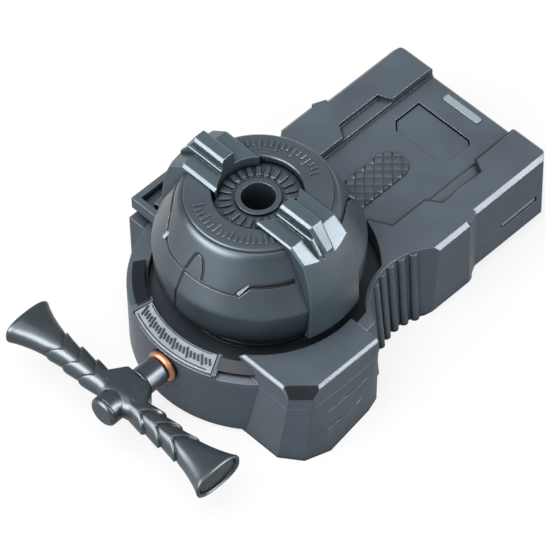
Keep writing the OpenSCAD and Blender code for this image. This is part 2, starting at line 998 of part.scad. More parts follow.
// One pawl: an eye on its pin and an arm that ends in a ratchet notch
module pawl_form() {
    tip = polar(pawl_tip_r, pawl_tip_a);
    heel = polar(pawl_tip_r - pawl_tip_w, pawl_tip_a);
    eye = [pawl_place_r, 0];
    color(brass)
        translate([0, 0, pawl_z])
            linear_extrude(pawl_t)
                difference() {
                    union() {
                        translate(eye)
                            circle(r = pawl_eye_r, $fn = small_fn);
                        polygon([
                            eye + [pawl_eye_r, 0],
                            eye + polar(1.8 * pawl_eye_r, 60),
                            tip,
                            heel,
                            eye - [pawl_eye_r, 0]
                        ]);
                    }
                    translate(eye)
                        circle(r = pawl_pin_r + run_gap, $fn = small_fn);
                }
}

module pawl_a() {
    pawl_form();
}

module pawl_b() {
    rotate([0, 0, 180])
        pawl_form();
}

// Radius of the middle of the wound cord
function wind_r() = drum_r + cord_d / 2 + cord_off;
// Angle at which the cord leaves the drum for the eyelet, and the point itself
function leave_a() = 180 - acos(wind_r() / (cup_r - eyelet_in));
function leave_z() = drum_z + cord_d / 2 + cord_off + 0.1 * cord_pitch;

// Rings of points along a route, joined into one closed tube
module swept_tube(centres, sides, r) {
    count = len(centres);
    function along(i) = let (d = centres[min(i + 1, count - 1)] - centres[max(i - 1, 0)]) d / norm(d);
    function ring(i) = let (
            t = along(i),
            s = cross(t, [0, 0, 1]) / norm(cross(t, [0, 0, 1])),
            u = cross(s, t)
        ) [for (k = [0 : sides - 1])
            centres[i] + r * (cos(k * 360 / sides) * s + sin(k * 360 / sides) * u)];
    points = [for (i = [0 : count - 1]) each ring(i)];
    side_faces = [for (i = [0 : count - 2]) for (k = [0 : sides - 1])
        let (a = i * sides + k, b = i * sides + (k + 1) % sides)
        each [[a, a + sides, b], [b, a + sides, b + sides]]];
    start = [for (k = [1 : sides - 2]) [0, k, k + 1]];
    base = (count - 1) * sides;
    end = [for (k = [1 : sides - 2]) [base, base + k + 1, base + k]];
    polyhedron(points = points, faces = concat(side_faces, start, end));
}

// The cord's turns on the drum, one beside the next, on from where the straight run meets it
wind_steps = 24;
wind_points = [for (i = [0 : cord_turns * wind_steps])
    let (a = leave_a() - i * 360 / wind_steps)
    [wind_r() * cos(a), wind_r() * sin(a), leave_z() + cord_pitch * i / wind_steps]];
wind_gap = min([for (i = [0 : (cord_turns - 1) * wind_steps])
    norm(wind_points[i] - wind_points[i + wind_steps]) - cord_d]);

module wound_cord() {
    echo(least_gap_of_the_wound_cord = wind_gap);
    color(cord_colour)
        swept_tube(wind_points, 6, cord_d / 2);
}

module ratchet_teeth_area() {
    step = 360 / ratchet_teeth;
    for (i = [0 : ratchet_teeth - 1])
        rotate([0, 0, i * step + pawl_tip_a + ratchet_lead_a])
            polygon([
                polar(ratchet_in_r - seam, 0),
                polar(ratchet_in_r + ratchet_tooth, 0),
                polar(ratchet_in_r - seam / 2, -step * 0.8)
            ]);
}

module ratchet_cup() {
    web_r = dome_r - foot_in - dome_wall - fit_gap;
    color(dark_plastic)
        difference() {
            union() {
                post(web_r, web_z, web_top);
                post(ratchet_out_r, pawl_z, web_z + seam);
                post(hub_r, web_z, hub_top);
            }
            translate([0, 0, pawl_z - over])
                linear_extrude(web_z - pawl_z + over) {
                    circle(r = ratchet_in_r);
                    ratchet_teeth_area();
                }
            post(bush_r + fit_gap, web_z - over, hub_top + over);
            for (a = [45 : 90 : 315])
                rotate([0, 0, a])
                    translate([dome_boss_place_r, 0, 0]) {
                        post(small_screw_r + fit_gap, web_z - over, web_top + over);
                        post(small_head_r + fit_gap, web_z - over, web_z + small_head_h);
                    }
        }
}

module bearing_bush() {
    color(brass)
        tube(bush_r, axle_r + run_gap, bush_z, axle_top - free_gap);
}

module head_screws() {
    color(steel)
        for (a = [45 : 90 : 315])
            rotate([0, 0, a])
                translate([dome_boss_place_r, 0, web_z])
                    screw(small_head_r, small_head_h - fit_gap, small_screw_r, 2 * small_screw_len,
                        small_screw_r / 2);
}

// The closed outside of the dome, which also cuts the claws to fit
module dome_solid() {
    skirt_foot_z = dome_foot_z + foot_step_h;
    rotate_extrude()
        polygon([
            [0, dome_foot_z],
            [dome_r - foot_in, dome_foot_z],
            [dome_r - foot_in, skirt_foot_z],
            [dome_r - skirt_draft, skirt_foot_z + foot_in - skirt_draft],
            [dome_r, shoulder_z - shoulder_bend],
            [dome_r - shoulder_bend / 2, shoulder_z + shoulder_bend],
            [brow_r, brow_z],
            [0, brow_z]
        ]);
}

module dome() {
    inner_r = dome_r - dome_wall;
    color(plastic)
        difference() {
            union() {
                difference() {
                    dome_solid();
                    post(plate_r + fit_gap, plate_z, plate_top_z + over);
                    rotate_extrude()
                        polygon([
                            [0, dome_foot_z - over],
                            [inner_r - foot_in, dome_foot_z - over],
                            [inner_r - foot_in, dome_foot_z + foot_step_h],
                            [inner_r, dome_foot_z + foot_step_h + 2 * foot_in],
                            [inner_r, shoulder_z - shoulder_bend],
                            [inner_r - (roof_z - shoulder_z) * shoulder_slope, roof_z],
                            [0, roof_z]
                        ]);
                }
                for (a = [45 : 90 : 315])
                    rotate([0, 0, a])
                        translate([dome_boss_place_r, 0, 0])
                            post(dome_boss_r, web_top, dome_boss_top);
            }
            post(recess_r + fit_gap, roof_z - over, plate_z + over);
            peg_holes();
            for (a = [45 : 90 : 315])
                rotate([0, 0, a])
                    translate([dome_boss_place_r, 0, 0])
                        post(small_screw_r + fit_gap, web_top - over, web_top + 2 * small_screw_len);
        }
}

module peg_holes() {
    for (side = [-1, 1])
        translate([0, side * peg_y, plate_top_z - peg_h - fit_gap])
            cylinder(h = peg_h + over, r = peg_r + fit_gap, $fn = small_fn);
}

module top_plate() {
    lip = seam;
    color(plastic)
        difference() {
            rotate_extrude()
                polygon([
                    [recess_r + lip, plate_z],
                    [plate_r, plate_z],
                    [plate_r, plate_top_z - lip],
                    [plate_r - lip, plate_top_z],
                    [recess_r + lip, plate_top_z],
                    [recess_r, plate_top_z - lip],
                    [recess_r, plate_z + lip]
                ]);
            peg_holes();
        }
}

module hub_disc() {
    mark_in = hub_r + 2 * seam;
    mark_len = recess_r - mark_in - 3 * seam;
    color(plastic)
        difference() {
            union() {
                post(recess_r - fit_gap, disc_top - disc_t, disc_top);
                post(disc_flange_r, roof_z - disc_flange_t - fit_gap, roof_z - fit_gap);
                for (i = [0 : dial_marks - 1])
                    rotate([0, 0, i * 360 / dial_marks])
                        translate([mark_in, -dial_mark_w / 2, disc_top - seam])
                            cube([mark_len, dial_mark_w, seam + dial_mark_h]);
            }
            post(hub_r + fit_gap, roof_z - 2 * disc_flange_t, plate_top_z);
        }
}

module hub_sleeve() {
    color(plastic)
        difference() {
            post(hub_r, hub_top, hub_ring_top);
            post(hub_bore_r, bore_floor_z, hub_ring_top + over);
            post(bush_r + fit_gap, hub_top - over, bore_floor_z + over);
        }
}

// One strip of a claw, seen along X: its inner end is round, its outer end slants
module claw_strip(x0, w, in_r, slant_y, y_out, h) {
    top = plate_top_z + h;
    difference() {
        translate([x0, 0, 0])
            rotate([90, 0, 90])
                linear_extrude(w)
                    polygon([
                        [hub_r, disc_top],
                        [hub_r, top],
                        [slant_y, top],
                        [y_out, claw_slant_z + 0.3 * h],
                        [y_out, shoulder_z],
                        [slant_y, shoulder_z]
                    ]);
        post(in_r, disc_top - over, top + over);
        translate([0, 0, top - claw_in_bevel])
            cylinder(h = 2 * claw_in_bevel, r1 = in_r, r2 = in_r + 2 * claw_in_bevel);
    }
}

module claw_form() {
    half = claw_w / 2;
    strip_x = rib_x0 + rib_w + seam;
    rib_top = plate_top_z + rib_h;
    color(pale_plastic)
        difference() {
            union() {
                claw_strip(-half, half + rib_x0, claw_in_r, claw_slant_y, claw_out, claw_h);
                difference() {
                    claw_strip(rib_x0, rib_w, rib_in_r, rib_slant_y, rib_out, rib_h);
                    for (x = [rib_x0, rib_x0 + rib_w])
                        bevel_y(x, 0, rib_slant_y, rib_top, rib_bevel);
                }
                claw_strip(rib_x0 - ledge_w, 2 * ledge_w, claw_in_r, rib_slant_y, claw_out, ledge_h);
                claw_strip(strip_x, half - strip_x, claw_in_r, claw_slant_y, claw_out, claw_h);
                claw_strip(-half + seam, claw_w - 2 * seam, claw_in_r + seam, claw_slant_y,
                    claw_out - seam, claw_h - claw_groove_d);
                hull() {
                    translate([-half, dome_r / 2, claw_slant_z - 2 * seam])
                        cube([claw_w, claw_out - dome_r / 2, seam]);
                    translate([-half - pillar_flare, dome_r / 2, pillar_foot_z])
                        cube([claw_w + 2 * pillar_flare, pillar_out - dome_r / 2,
                            pillar_knee_z - pillar_foot_z]);
                }
                translate([0, peg_y, plate_top_z - peg_h])
                    cylinder(h = peg_h + seam, r = peg_r, $fn = small_fn);
            }
            difference() {
                dome_solid();
                peg_holes();
            }
            difference() {
                post(plate_r + fit_gap, plate_z - over, plate_top_z);
                post(recess_r - seam, plate_z - 2 * over, plate_top_z + over);
                peg_holes();
            }
            difference() {
                post(recess_r, plate_z - 2 * over, disc_top + dial_mark_h + fit_gap);
                peg_holes();
            }
        }
}

module claw_far() {
    claw_form();
}

module claw_near() {
    mirror([0, 1, 0])
        claw_form();
}

// Turns a piece's own Z axis along +Y at the handle's bar
module along_bar(side) {
    translate([-bar_x, 0, cord_z])
        rotate([-side * 90, 0, 0])
            children();
}

// The webs between the neck and the arms, which also cut the sleeves to fit
module handle_web(grow) {
    hull() {
        translate([-bar_x, -web_out - grow, cord_z - sleeve_r / 2 - grow])
            cube([seam + grow, 2 * (web_out + grow), sleeve_r + 2 * grow]);
        translate([-bar_x - cross_w / 2 - grow, -cross_half / 2 - grow, cord_z - cross_h / 2 - grow])
            cube([cross_w + neck_r / 2 + 2 * grow, cross_half + 2 * grow, cross_h + 2 * grow]);
    }
}

module handle_core() {
    color(plastic)
        difference() {
            union() {
                along_bar(1)
                    post(rod_r, -half_bar + end_cap_t + end_recess, half_bar - end_cap_t - end_recess);
                along_bar(1)
                    post(sleeve_r + seam, -sleeve_in, sleeve_in);
                translate([-bar_x - cross_w / 2, -cross_half, cord_z - cross_h / 2])
                    cube([cross_w, 2 * cross_half, cross_h]);
                handle_web(0);
                translate([-bar_x - nub_front + nub_cap_t, 0, cord_z])
                    rotate([0, 90, 0])
                        cylinder(h = nub_front, r = nub_r, $fn = small_fn);
            }
            translate([-bar_x - nub_front, 0, cord_z])
                rotate([0, 90, 0]) {
                    cylinder(h = nub_front + cross_w, r = neck_bore_r, $fn = small_fn);
                    cylinder(h = nub_cap_t + 2 * knot_r + seam, r = knot_r + seam, $fn = small_fn);
                }
        }
}

module handle_neck() {
    x0 = -bar_x + cross_w / 2 + neck_r / 2;
    color(plastic)
        translate([x0, 0, cord_z])
            rotate([0, 90, 0])
                difference() {
                    rotate_extrude()
                        polygon([
                            [0, 0],
                            [neck_r + seam, 0],
                            [neck_r + seam, seam],
                            [neck_r, 3 * seam],
                            [neck_r, neck_end_x - x0 - seam],
                            [neck_r - seam, neck_end_x - x0],
                            [0, neck_end_x - x0]
                        ]);
                    post(neck_bore_r, -over, neck_end_x - x0 + over);
                }
}

module nub_cap() {
    color(plastic)
        translate([-bar_x - nub_front, 0, cord_z])
            rotate([0, 90, 0])
                rotate_extrude()
                    polygon([
                        [0, 0],
                        [nub_r - 2 * seam, 0],
                        [nub_r, 2 * seam],
                        [nub_r, nub_cap_t],
                        [0, nub_cap_t]
                    ]);
}

module cord_knot() {
    color(cord_colour)
        translate([-bar_x - nub_front + nub_cap_t + knot_r, 0, cord_z])
            sphere(r = knot_r, $fn = small_fn);
}

// The cord from its knot through the neck and the eyelet to the drum
cord_start_x = -bar_x - nub_front + nub_cap_t + 2 * knot_r;
cord_inlet = [-cup_r + eyelet_in, 0, cord_z];
cord_drum_end = wind_points[0] - cord_d * [sin(leave_a()), -cos(leave_a()), 0];
// The cord has come down to the height of its first turn at this share of its way in
cord_level_share = 0.7;
cord_route = concat(
    [for (x = [cord_start_x : 3 * cord_d : cord_inlet.x - cord_d]) [x, 0, cord_z]],
    [cord_inlet],
    [for (share = [0.15 : 0.17 : 1]) let (way = cord_drum_end - cord_inlet)
        cord_inlet + [way.x * share, way.y * share, way.z * min(1, share / cord_level_share)]]
);

module pull_cord() {
    color(cord_colour)
        swept_tube(cord_route, 8, cord_d / 2);
}

// A grip sleeve: overlapping scales that open into a flared oval end
module grip_sleeve(side) {
    color(dark_plastic)
        difference() {
            along_bar(side)
                union() {
                    rotate_extrude()
                        polygon(concat(
                            [[0, sleeve_in]],
                            [for (i = [0 : scales - 1]) each [
                                [sleeve_r - scale_rise / 2, sleeve_in + i * scale_step],
                                [sleeve_r + scale_rise, sleeve_in + (i + 0.8) * scale_step]
                            ]],
                            [[sleeve_r, sleeve_in + scales * scale_step]],
                            [[0, sleeve_in + scales * scale_step]]
                        ));
                    hull() {
                        translate([0, 0, sleeve_in + scales * scale_step - scale_step])
                            cylinder(h = seam, r = sleeve_r, $fn = hull_fn);
                        for (x = [-1, 1])
                            translate([x * (flare_w - flare_t) / 2, 0, half_bar - flare_end_t])
                                cylinder(h = flare_end_t, r = flare_t / 2, $fn = hull_fn);
                    }
                }
            along_bar(side) {
                post(rod_r + fit_gap, 0, half_bar - end_cap_t - end_recess);
                end_oval(half_bar - end_cap_t - end_recess, half_bar + over, end_rim);
            }
            handle_web(fit_gap);
        }
}

module end_oval(z0, z1, inset) {
    r = flare_t / 2 - inset;
    for (x = [-1, 1])
        translate([x * (flare_w - flare_t) / 2, 0, z0])
            cylinder(h = z1 - z0, r = r);
    translate([-(flare_w - flare_t) / 2, -r, z0])
        cube([flare_w - flare_t, 2 * r, z1 - z0]);
}

module end_cap(side) {
    color(pale_plastic)
        along_bar(side)
            end_oval(half_bar - end_cap_t - end_recess, half_bar - end_recess, end_rim + fit_gap);
}

lower_casing();
upper_casing();
front_collar();
label_plate();
thumb_pad();
cover_plate();
rear_insert();
casing_screws();
cord_eyelet();
bumper_ring();
axle();
axle_washer();
axle_screw();
spring_barrel();
barrel_screws();
spiral_spring();
reel();
reel_cover();
pawl_pins();
wound_cord();
pawl_a();
pawl_b();
ratchet_cup();
bearing_bush();
head_screws();
dome();
top_plate();
hub_disc();
hub_sleeve();
claw_near();
claw_far();
handle_core();
handle_neck();
nub_cap();
cord_knot();
pull_cord();
grip_sleeve(-1);  // grip_sleeve_near
grip_sleeve(1);  // grip_sleeve_far
end_cap(-1);  // end_cap_near
end_cap(1);  // end_cap_far
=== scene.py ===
"""A hand-held launcher for spinning tops, in gunmetal plastic, with its T-handle on a pull cord.

Sizes are in millimetres, and MM turns them into metres. The head turns about Z, the grip lies towards +X,
and the handle is pulled towards -X. Near is the side at -Y, and far the side at +Y.
"""

import json
import math

import bpy
from mathutils import Matrix, Vector

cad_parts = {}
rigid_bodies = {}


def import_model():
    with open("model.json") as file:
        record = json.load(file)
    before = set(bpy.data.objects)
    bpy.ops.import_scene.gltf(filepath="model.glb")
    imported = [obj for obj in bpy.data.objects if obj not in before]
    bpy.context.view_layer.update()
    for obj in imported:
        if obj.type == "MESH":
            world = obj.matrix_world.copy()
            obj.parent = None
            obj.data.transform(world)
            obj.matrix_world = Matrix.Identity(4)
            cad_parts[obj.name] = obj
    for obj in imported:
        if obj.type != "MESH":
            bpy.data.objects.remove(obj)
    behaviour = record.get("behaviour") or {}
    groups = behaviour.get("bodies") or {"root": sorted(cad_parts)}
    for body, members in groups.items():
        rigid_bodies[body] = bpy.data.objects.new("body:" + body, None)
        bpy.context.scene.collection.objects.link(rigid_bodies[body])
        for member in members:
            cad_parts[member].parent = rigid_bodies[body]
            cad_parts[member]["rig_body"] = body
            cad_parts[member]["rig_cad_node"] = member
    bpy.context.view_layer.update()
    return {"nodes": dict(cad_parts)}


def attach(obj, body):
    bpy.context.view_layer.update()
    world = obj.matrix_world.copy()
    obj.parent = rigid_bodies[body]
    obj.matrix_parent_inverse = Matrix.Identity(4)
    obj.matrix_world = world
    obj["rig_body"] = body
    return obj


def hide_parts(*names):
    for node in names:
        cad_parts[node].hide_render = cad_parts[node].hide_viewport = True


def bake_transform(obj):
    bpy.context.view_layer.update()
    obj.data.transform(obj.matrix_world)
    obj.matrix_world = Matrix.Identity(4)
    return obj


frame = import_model()

MM = 0.001
UP = Vector((0, 0, 1))
SIDES = ((-1, "near"), (1, "far"))
# What is on one half of the dome comes again half a turn on
HALVES = (0, 180)

# Camera, as fitted to the photograph
CAMERA_AZIMUTH = -43.67
CAMERA_ELEVATION = 51.5
CAMERA_ROLL = -1.47
CAMERA_DISTANCE = 1263.12
CAMERA_TARGET = Vector((6.47, 2.01, 16.47))
CAMERA_LENS = 299.95
SENSOR_WIDTH = 36.0
# Nearest and furthest distance that the camera sees, in metres
CAMERA_REACH = (0.01, 10)

# Floor, in metres, and how much it is lit up for the eye and in reflections, so that it shows white
FLOOR_SIZE = 6
FLOOR_GREY = 0.22
FLOOR_ROUGHNESS = 0.9
FLOOR_GLOW = 0.8

WORLD_LIGHT = 0.36
# Soft boxes: direction, distance, width and height in metres, power in watts, and if only gloss shows them
SOFT_BOXES = {
    "top_box": ((-0.35, -0.02, 0.94), 0.9, 0.7, 0.7, 4.8, False),
    "key_box": ((0.43, -0.69, 0.56), 0.8, 0.3, 0.42, 9.5, True),
    "side_box": ((-0.8, 0.25, 0.47), 0.8, 0.75, 0.45, 19.0, True),
    "front_box": ((0.43, -0.89, 0.13), 0.8, 0.26, 0.2, 4.0, True),
}

# Sizes that the pieces made here share with the solids
HEAD_FOOT = 28.85
HUB_R = 12.7
PLATE_R = 20.5
PLATE_TOP = 59.1
CORD_Z = 17.2
CORD_R = 0.6
BAR_X = -53.5
HALF_BAR = 38.0
SLEEVE_R = 4.0
SLEEVE_IN = 9.0
FLARE_W = 16.5
FLARE_T = 9.5
PAD_X = (34.0, 57.4)
PAD_Y = (-4.3, 6.3)
PAD_TOP = 24.8

# Points of a loop, and points of a CAD copy, that are closer than this are one point
WELD = 0.002
CAD_WELD = 0.004
# A point that is closer than this to a side or an axis lies on it
SAME_PLACE = 0.01
# Faces of a CAD copy that meet flatter than this many degrees are one face
FLAT_ANGLE = 0.4
# Edges past the first angle, in degrees, are rounded, and past the second they shade sharp
SOFT_ANGLE = 28
SMOOTH_ANGLE = 32
TUBE_SIDES = 8


# Hand tools

def only(thing):
    """Selects one object alone and makes it the active one."""
    if bpy.context.object and bpy.context.object.mode != "OBJECT":
        bpy.ops.object.mode_set(mode="OBJECT")
    bpy.ops.object.select_all(action="DESELECT")
    thing.hide_set(False)
    thing.select_set(True)
    bpy.context.view_layer.objects.active = thing


def edit(thing):
    """Opens an object's mesh with all of it selected."""
    only(thing)
    bpy.ops.object.mode_set(mode="EDIT")
    bpy.ops.mesh.select_all(action="SELECT")


def leave_edit():
    bpy.ops.object.mode_set(mode="OBJECT")


def face_out(thing, weld=False):
    """Turns all faces outwards, after welding points that lie on each other where that is asked for."""
    edit(thing)
    if weld:
        bpy.ops.mesh.remove_doubles(threshold=WELD * MM)
    bpy.ops.mesh.normals_make_consistent(inside=False)
    leave_edit()


def settle(thing):
    """Puts an object's place, turn and scale into its mesh."""
    only(thing)
    bpy.ops.object.transform_apply(location=True, rotation=True, scale=True)


def modify(thing, kind, **settings):
    """Adds one modifier and applies it at once."""
    only(thing)
    modifier = thing.modifiers.new(kind.lower(), kind)
    for key, value in settings.items():
        setattr(modifier, key, value)
    bpy.ops.object.modifier_apply(modifier=modifier.name)


def smooth(thing, angle, weighted=True):
    """Smooth shading, in which large flat faces may keep their own direction."""
    only(thing)
    bpy.ops.object.shade_smooth_by_angle(angle=math.radians(angle))
    if weighted:
        modify(thing, "WEIGHTED_NORMAL", keep_sharp=True, weight=80)


def soften(thing, width):
    """Rounds the sharp edges a little, as a mould does, and shades the rest smooth."""
    modify(thing, "BEVEL", width=width * MM, segments=2, limit_method="ANGLE",
           angle_limit=math.radians(SOFT_ANGLE), use_clamp_overlap=True, miter_outer="MITER_ARC")
    smooth(thing, SMOOTH_ANGLE)


def carve(thing, cutter, operation="DIFFERENCE"):
    """Cuts a closed shape out of another, joins it on or keeps what they share, and removes it."""
    modify(thing, "BOOLEAN", operation=operation, object=cutter, solver="EXACT")
    bpy.data.objects.remove(cutter)


def merged_copy(node, name):
    """A copy of a CAD node with its loose triangles merged into whole faces."""
    source = frame["nodes"][node]
    piece = source.copy()
    piece.data = source.data.copy()
    piece.name = name
    piece.parent = None
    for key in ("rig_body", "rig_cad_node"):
        del piece[key]
    bpy.context.scene.collection.objects.link(piece)
    piece.data.materials.clear()
    edit(piece)
    bpy.ops.mesh.remove_doubles(threshold=CAD_WELD * MM)
    bpy.ops.mesh.dissolve_limited(angle_limit=math.radians(FLAT_ANGLE))
    leave_edit()
    if piece.data.has_custom_normals:
        bpy.ops.mesh.customdata_custom_splitnormals_clear()
    return piece


def polar(r, angle, z=0.0):
    """A point at a radius, an angle in degrees and a height."""
    turn = math.radians(angle)
    return Vector((r * math.cos(turn), r * math.sin(turn), z))


def turned(name, profile, facets=128, loop=False):
    """A turned piece: a circle that is extruded, widened and raised along a profile of radius and height.

    A profile that comes back to its start is a loop and is welded there. Any other is closed at both ends.
    """
    bpy.ops.object.select_all(action="DESELECT")
    before_r, before_z = profile[0]
    bpy.ops.mesh.primitive_circle_add(vertices=facets, radius=before_r * MM, location=(0, 0, before_z * MM),
                                      fill_type="NOTHING" if loop else "NGON")
    piece = bpy.context.object
    piece.name = name
    settle(piece)
    edit(piece)
    for r, z in profile[1:]:
        bpy.ops.mesh.extrude_edges_move(
            TRANSFORM_OT_translate={"value": (0, 0, (z - before_z) * MM)})
        bpy.ops.transform.resize(value=(r / before_r, r / before_r, 1), center_override=(0, 0, z * MM))
        before_r, before_z = r, z
    if not loop:
        bpy.ops.mesh.edge_face_add()
    face_out(piece, weld=loop)
    return piece


def face_of(name, corners):
    """A flat face: a circle with as many points as there are corners, each moved to its corner."""
    bpy.ops.object.select_all(action="DESELECT")
    bpy.ops.mesh.primitive_circle_add(vertices=len(corners), fill_type="NGON")
    face = bpy.context.object
    face.name = name
    for vertex, corner in zip(face.data.vertices, corners):
        vertex.co = Vector(corner) * MM
    return face


def pulled(face, offset, narrowed=1.0):
    """Extrudes a face into a closed block, whose far end may be narrower across the middle plane."""
    edit(face)
    bpy.ops.mesh.extrude_region_move(TRANSFORM_OT_translate={"value": Vector(offset) * MM})
    bpy.ops.transform.resize(value=(1, narrowed, 1), center_override=(0, 0, 0))
    face_out(face)
    return face


def bar_at(name, place, along, normal, size, edge=0.0):
    """A small bar, with its length along one direction and its top facing another, put in place."""
    bpy.ops.object.select_all(action="DESELECT")
    bpy.ops.mesh.primitive_cube_add(size=1)
    bar = bpy.context.object
    bar.name = name
    top = Vector(normal).normalized()
    side = top.cross(Vector(along)).normalized()
    turn = Matrix((side.cross(top), side, top)).transposed().to_4x4()
    scale = Matrix.Diagonal((*(Vector(size) * MM), 1))
    bar.matrix_world = Matrix.Translation(Vector(place) * MM) @ turn @ scale
    settle(bar)
    if edge:
        modify(bar, "BEVEL", width=edge * MM, segments=1)
    return bar


def tube_along(name, points, radius):
    """A round bar that follows a line of points, as a closed mesh."""
    line = bpy.data.curves.new(name, "CURVE")
    line.dimensions = "3D"
    line.bevel_depth = radius * MM
    line.bevel_resolution = TUBE_SIDES // 2 - 2
    line.use_fill_caps = True
    spline = line.splines.new("POLY")
    spline.points.add(len(points) - 1)
    for point, place in zip(spline.points, points):
        point.co = (*(Vector(place) * MM), 1)
    thing = bpy.data.objects.new(name, line)
    bpy.context.scene.collection.objects.link(thing)
    only(thing)
    bpy.ops.object.convert(target="MESH")
    thing = bpy.context.object
    thing.name = name
    return thing


def joined(name, pieces):
    """Several pieces as one object."""
    only(pieces[0])
    for piece in pieces:
        piece.select_set(True)
    if len(pieces) > 1:
        bpy.ops.object.join()
    bpy.context.object.name = name
    return bpy.context.object


def coat(piece, finish):
    """Gives a finished piece its finish."""
    settle(piece)
    piece.data.materials.clear()
    piece.data.materials.append(finish)


def dress(piece, body, slot, finish, *nodes):
    """Coats a piece, lets it ride on its body, and lets it stand for its CAD nodes."""
    coat(piece, finish)
    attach(piece, body)
    if nodes:
        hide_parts(*nodes)


# Finishes

# Sockets of a Mix node that mixes colours
MIX_AMOUNT, MIX_FIRST, MIX_SECOND, MIX_RESULT = 0, 6, 7, 2
# Range of the cloud pattern that counts, and how much it changes the colour
CLOUD_RANGE = (0.3, 0.7)
MOTTLE = 0.1
# How far up a face has to look to be glossy, and the gloss of the others and of these
GLOSS_SLOPE = (0.05, 0.4)
GLOSS = (0.06, 0.45)
# Where the bevel turns the surface this much, its edge is painted paler, partly as wear and partly as a
# highlight, unless it looks down
EDGE_TURN = (0.995, 0.93)
EDGE_SLOPE = (-0.1, 0.1)
WORN_HIGHLIGHT_GAIN = 2.2
WORN_HIGHLIGHT_LIFT = 0.06
# Reach of the painted shade in narrow seams and in deep hollows, and the openness over which it fades
SEAM_SHADE_REACH = (1.6, (0.4, 0.9))
HOLLOW_SHADE_REACH = (11.0, (0.15, 0.75))
SHADE_SAMPLES = 6
# How far the roughness strays to both sides
PLASTIC_STRAY = (-0.05, 0.07)
METAL_STRAY = (-0.08, 0.12)


def add_node(tree, kind, sockets=None, **settings):
    """A new shader node, with its own settings and the values of its sockets."""
    node = tree.nodes.new("ShaderNode" + kind)
    for key, value in settings.items():
        setattr(node, key, value)
    for key, value in (sockets or {}).items():
        node.inputs[key].default_value = value
    return node


def new_finish(name, **sockets):
    """A material, its node tree, its shader and the place on the object that its patterns read."""
    finish = bpy.data.materials.new(name)
    finish.use_nodes = True
    tree = finish.node_tree
    shader = tree.nodes["Principled BSDF"]
    for key, value in sockets.items():
        shader.inputs[key.replace("_", " ")].default_value = value
    return finish, tree, shader, add_node(tree, "TexCoord").outputs["Object"]


def noise(tree, place, scale, detail):
    pattern = add_node(tree, "TexNoise", {"Scale": scale, "Detail": detail})
    tree.links.new(place, pattern.inputs["Vector"])
    return pattern.outputs["Fac"]


def z_of(tree, vector):
    parts = add_node(tree, "SeparateXYZ")
    tree.links.new(vector, parts.inputs[0])
    return parts.outputs["Z"]


def ramp(tree, value, source, target):
    """Maps one range of a value onto another."""
    keys = ("From Min", "From Max", "To Min", "To Max")
    step = add_node(tree, "MapRange", dict(zip(keys, (*source, *target))))
    tree.links.new(value, step.inputs["Value"])
    return step.outputs["Result"]


def times(tree, surface, amount):
    """A colour, or the colour of a socket, multiplied by the value of another socket."""
    mix = add_node(tree, "Mix", {MIX_AMOUNT: 1}, data_type="RGBA", blend_type="MULTIPLY")
    if isinstance(surface, tuple):
        mix.inputs[MIX_FIRST].default_value = (*surface, 1)
    else:
        tree.links.new(surface, mix.inputs[MIX_FIRST])
    tree.links.new(amount, mix.inputs[MIX_SECOND])
    return mix.outputs[MIX_RESULT]


def bumped(tree, shader, height, strength, depth, under=None):
    """Raises the surface by a pattern, over a surface direction where one is given."""
    bump = add_node(tree, "Bump", {"Strength": strength, "Distance": depth * MM})
    tree.links.new(height, bump.inputs["Height"])
    if under:
        tree.links.new(under, bump.inputs["Normal"])
    tree.links.new(bump.outputs["Normal"], shader.inputs["Normal"])


def worn_and_highlit_edges(tree, shape, rounded, edge_wear_and_highlight):
    """How far an edge is painted paler, partly as wear and partly as a highlight on edges that do not look
    down.
    """
    turn = add_node(tree, "VectorMath", operation="DOT_PRODUCT")
    tree.links.new(rounded, turn.inputs[0])
    tree.links.new(shape, turn.inputs[1])
    paler_amount = add_node(tree, "Math", operation="MULTIPLY")
    tree.links.new(ramp(tree, turn.outputs["Value"], EDGE_TURN, (0, edge_wear_and_highlight)), paler_amount.inputs[0])
    tree.links.new(ramp(tree, z_of(tree, rounded), EDGE_SLOPE, (0, 1)), paler_amount.inputs[1])
    return paler_amount.outputs[0]


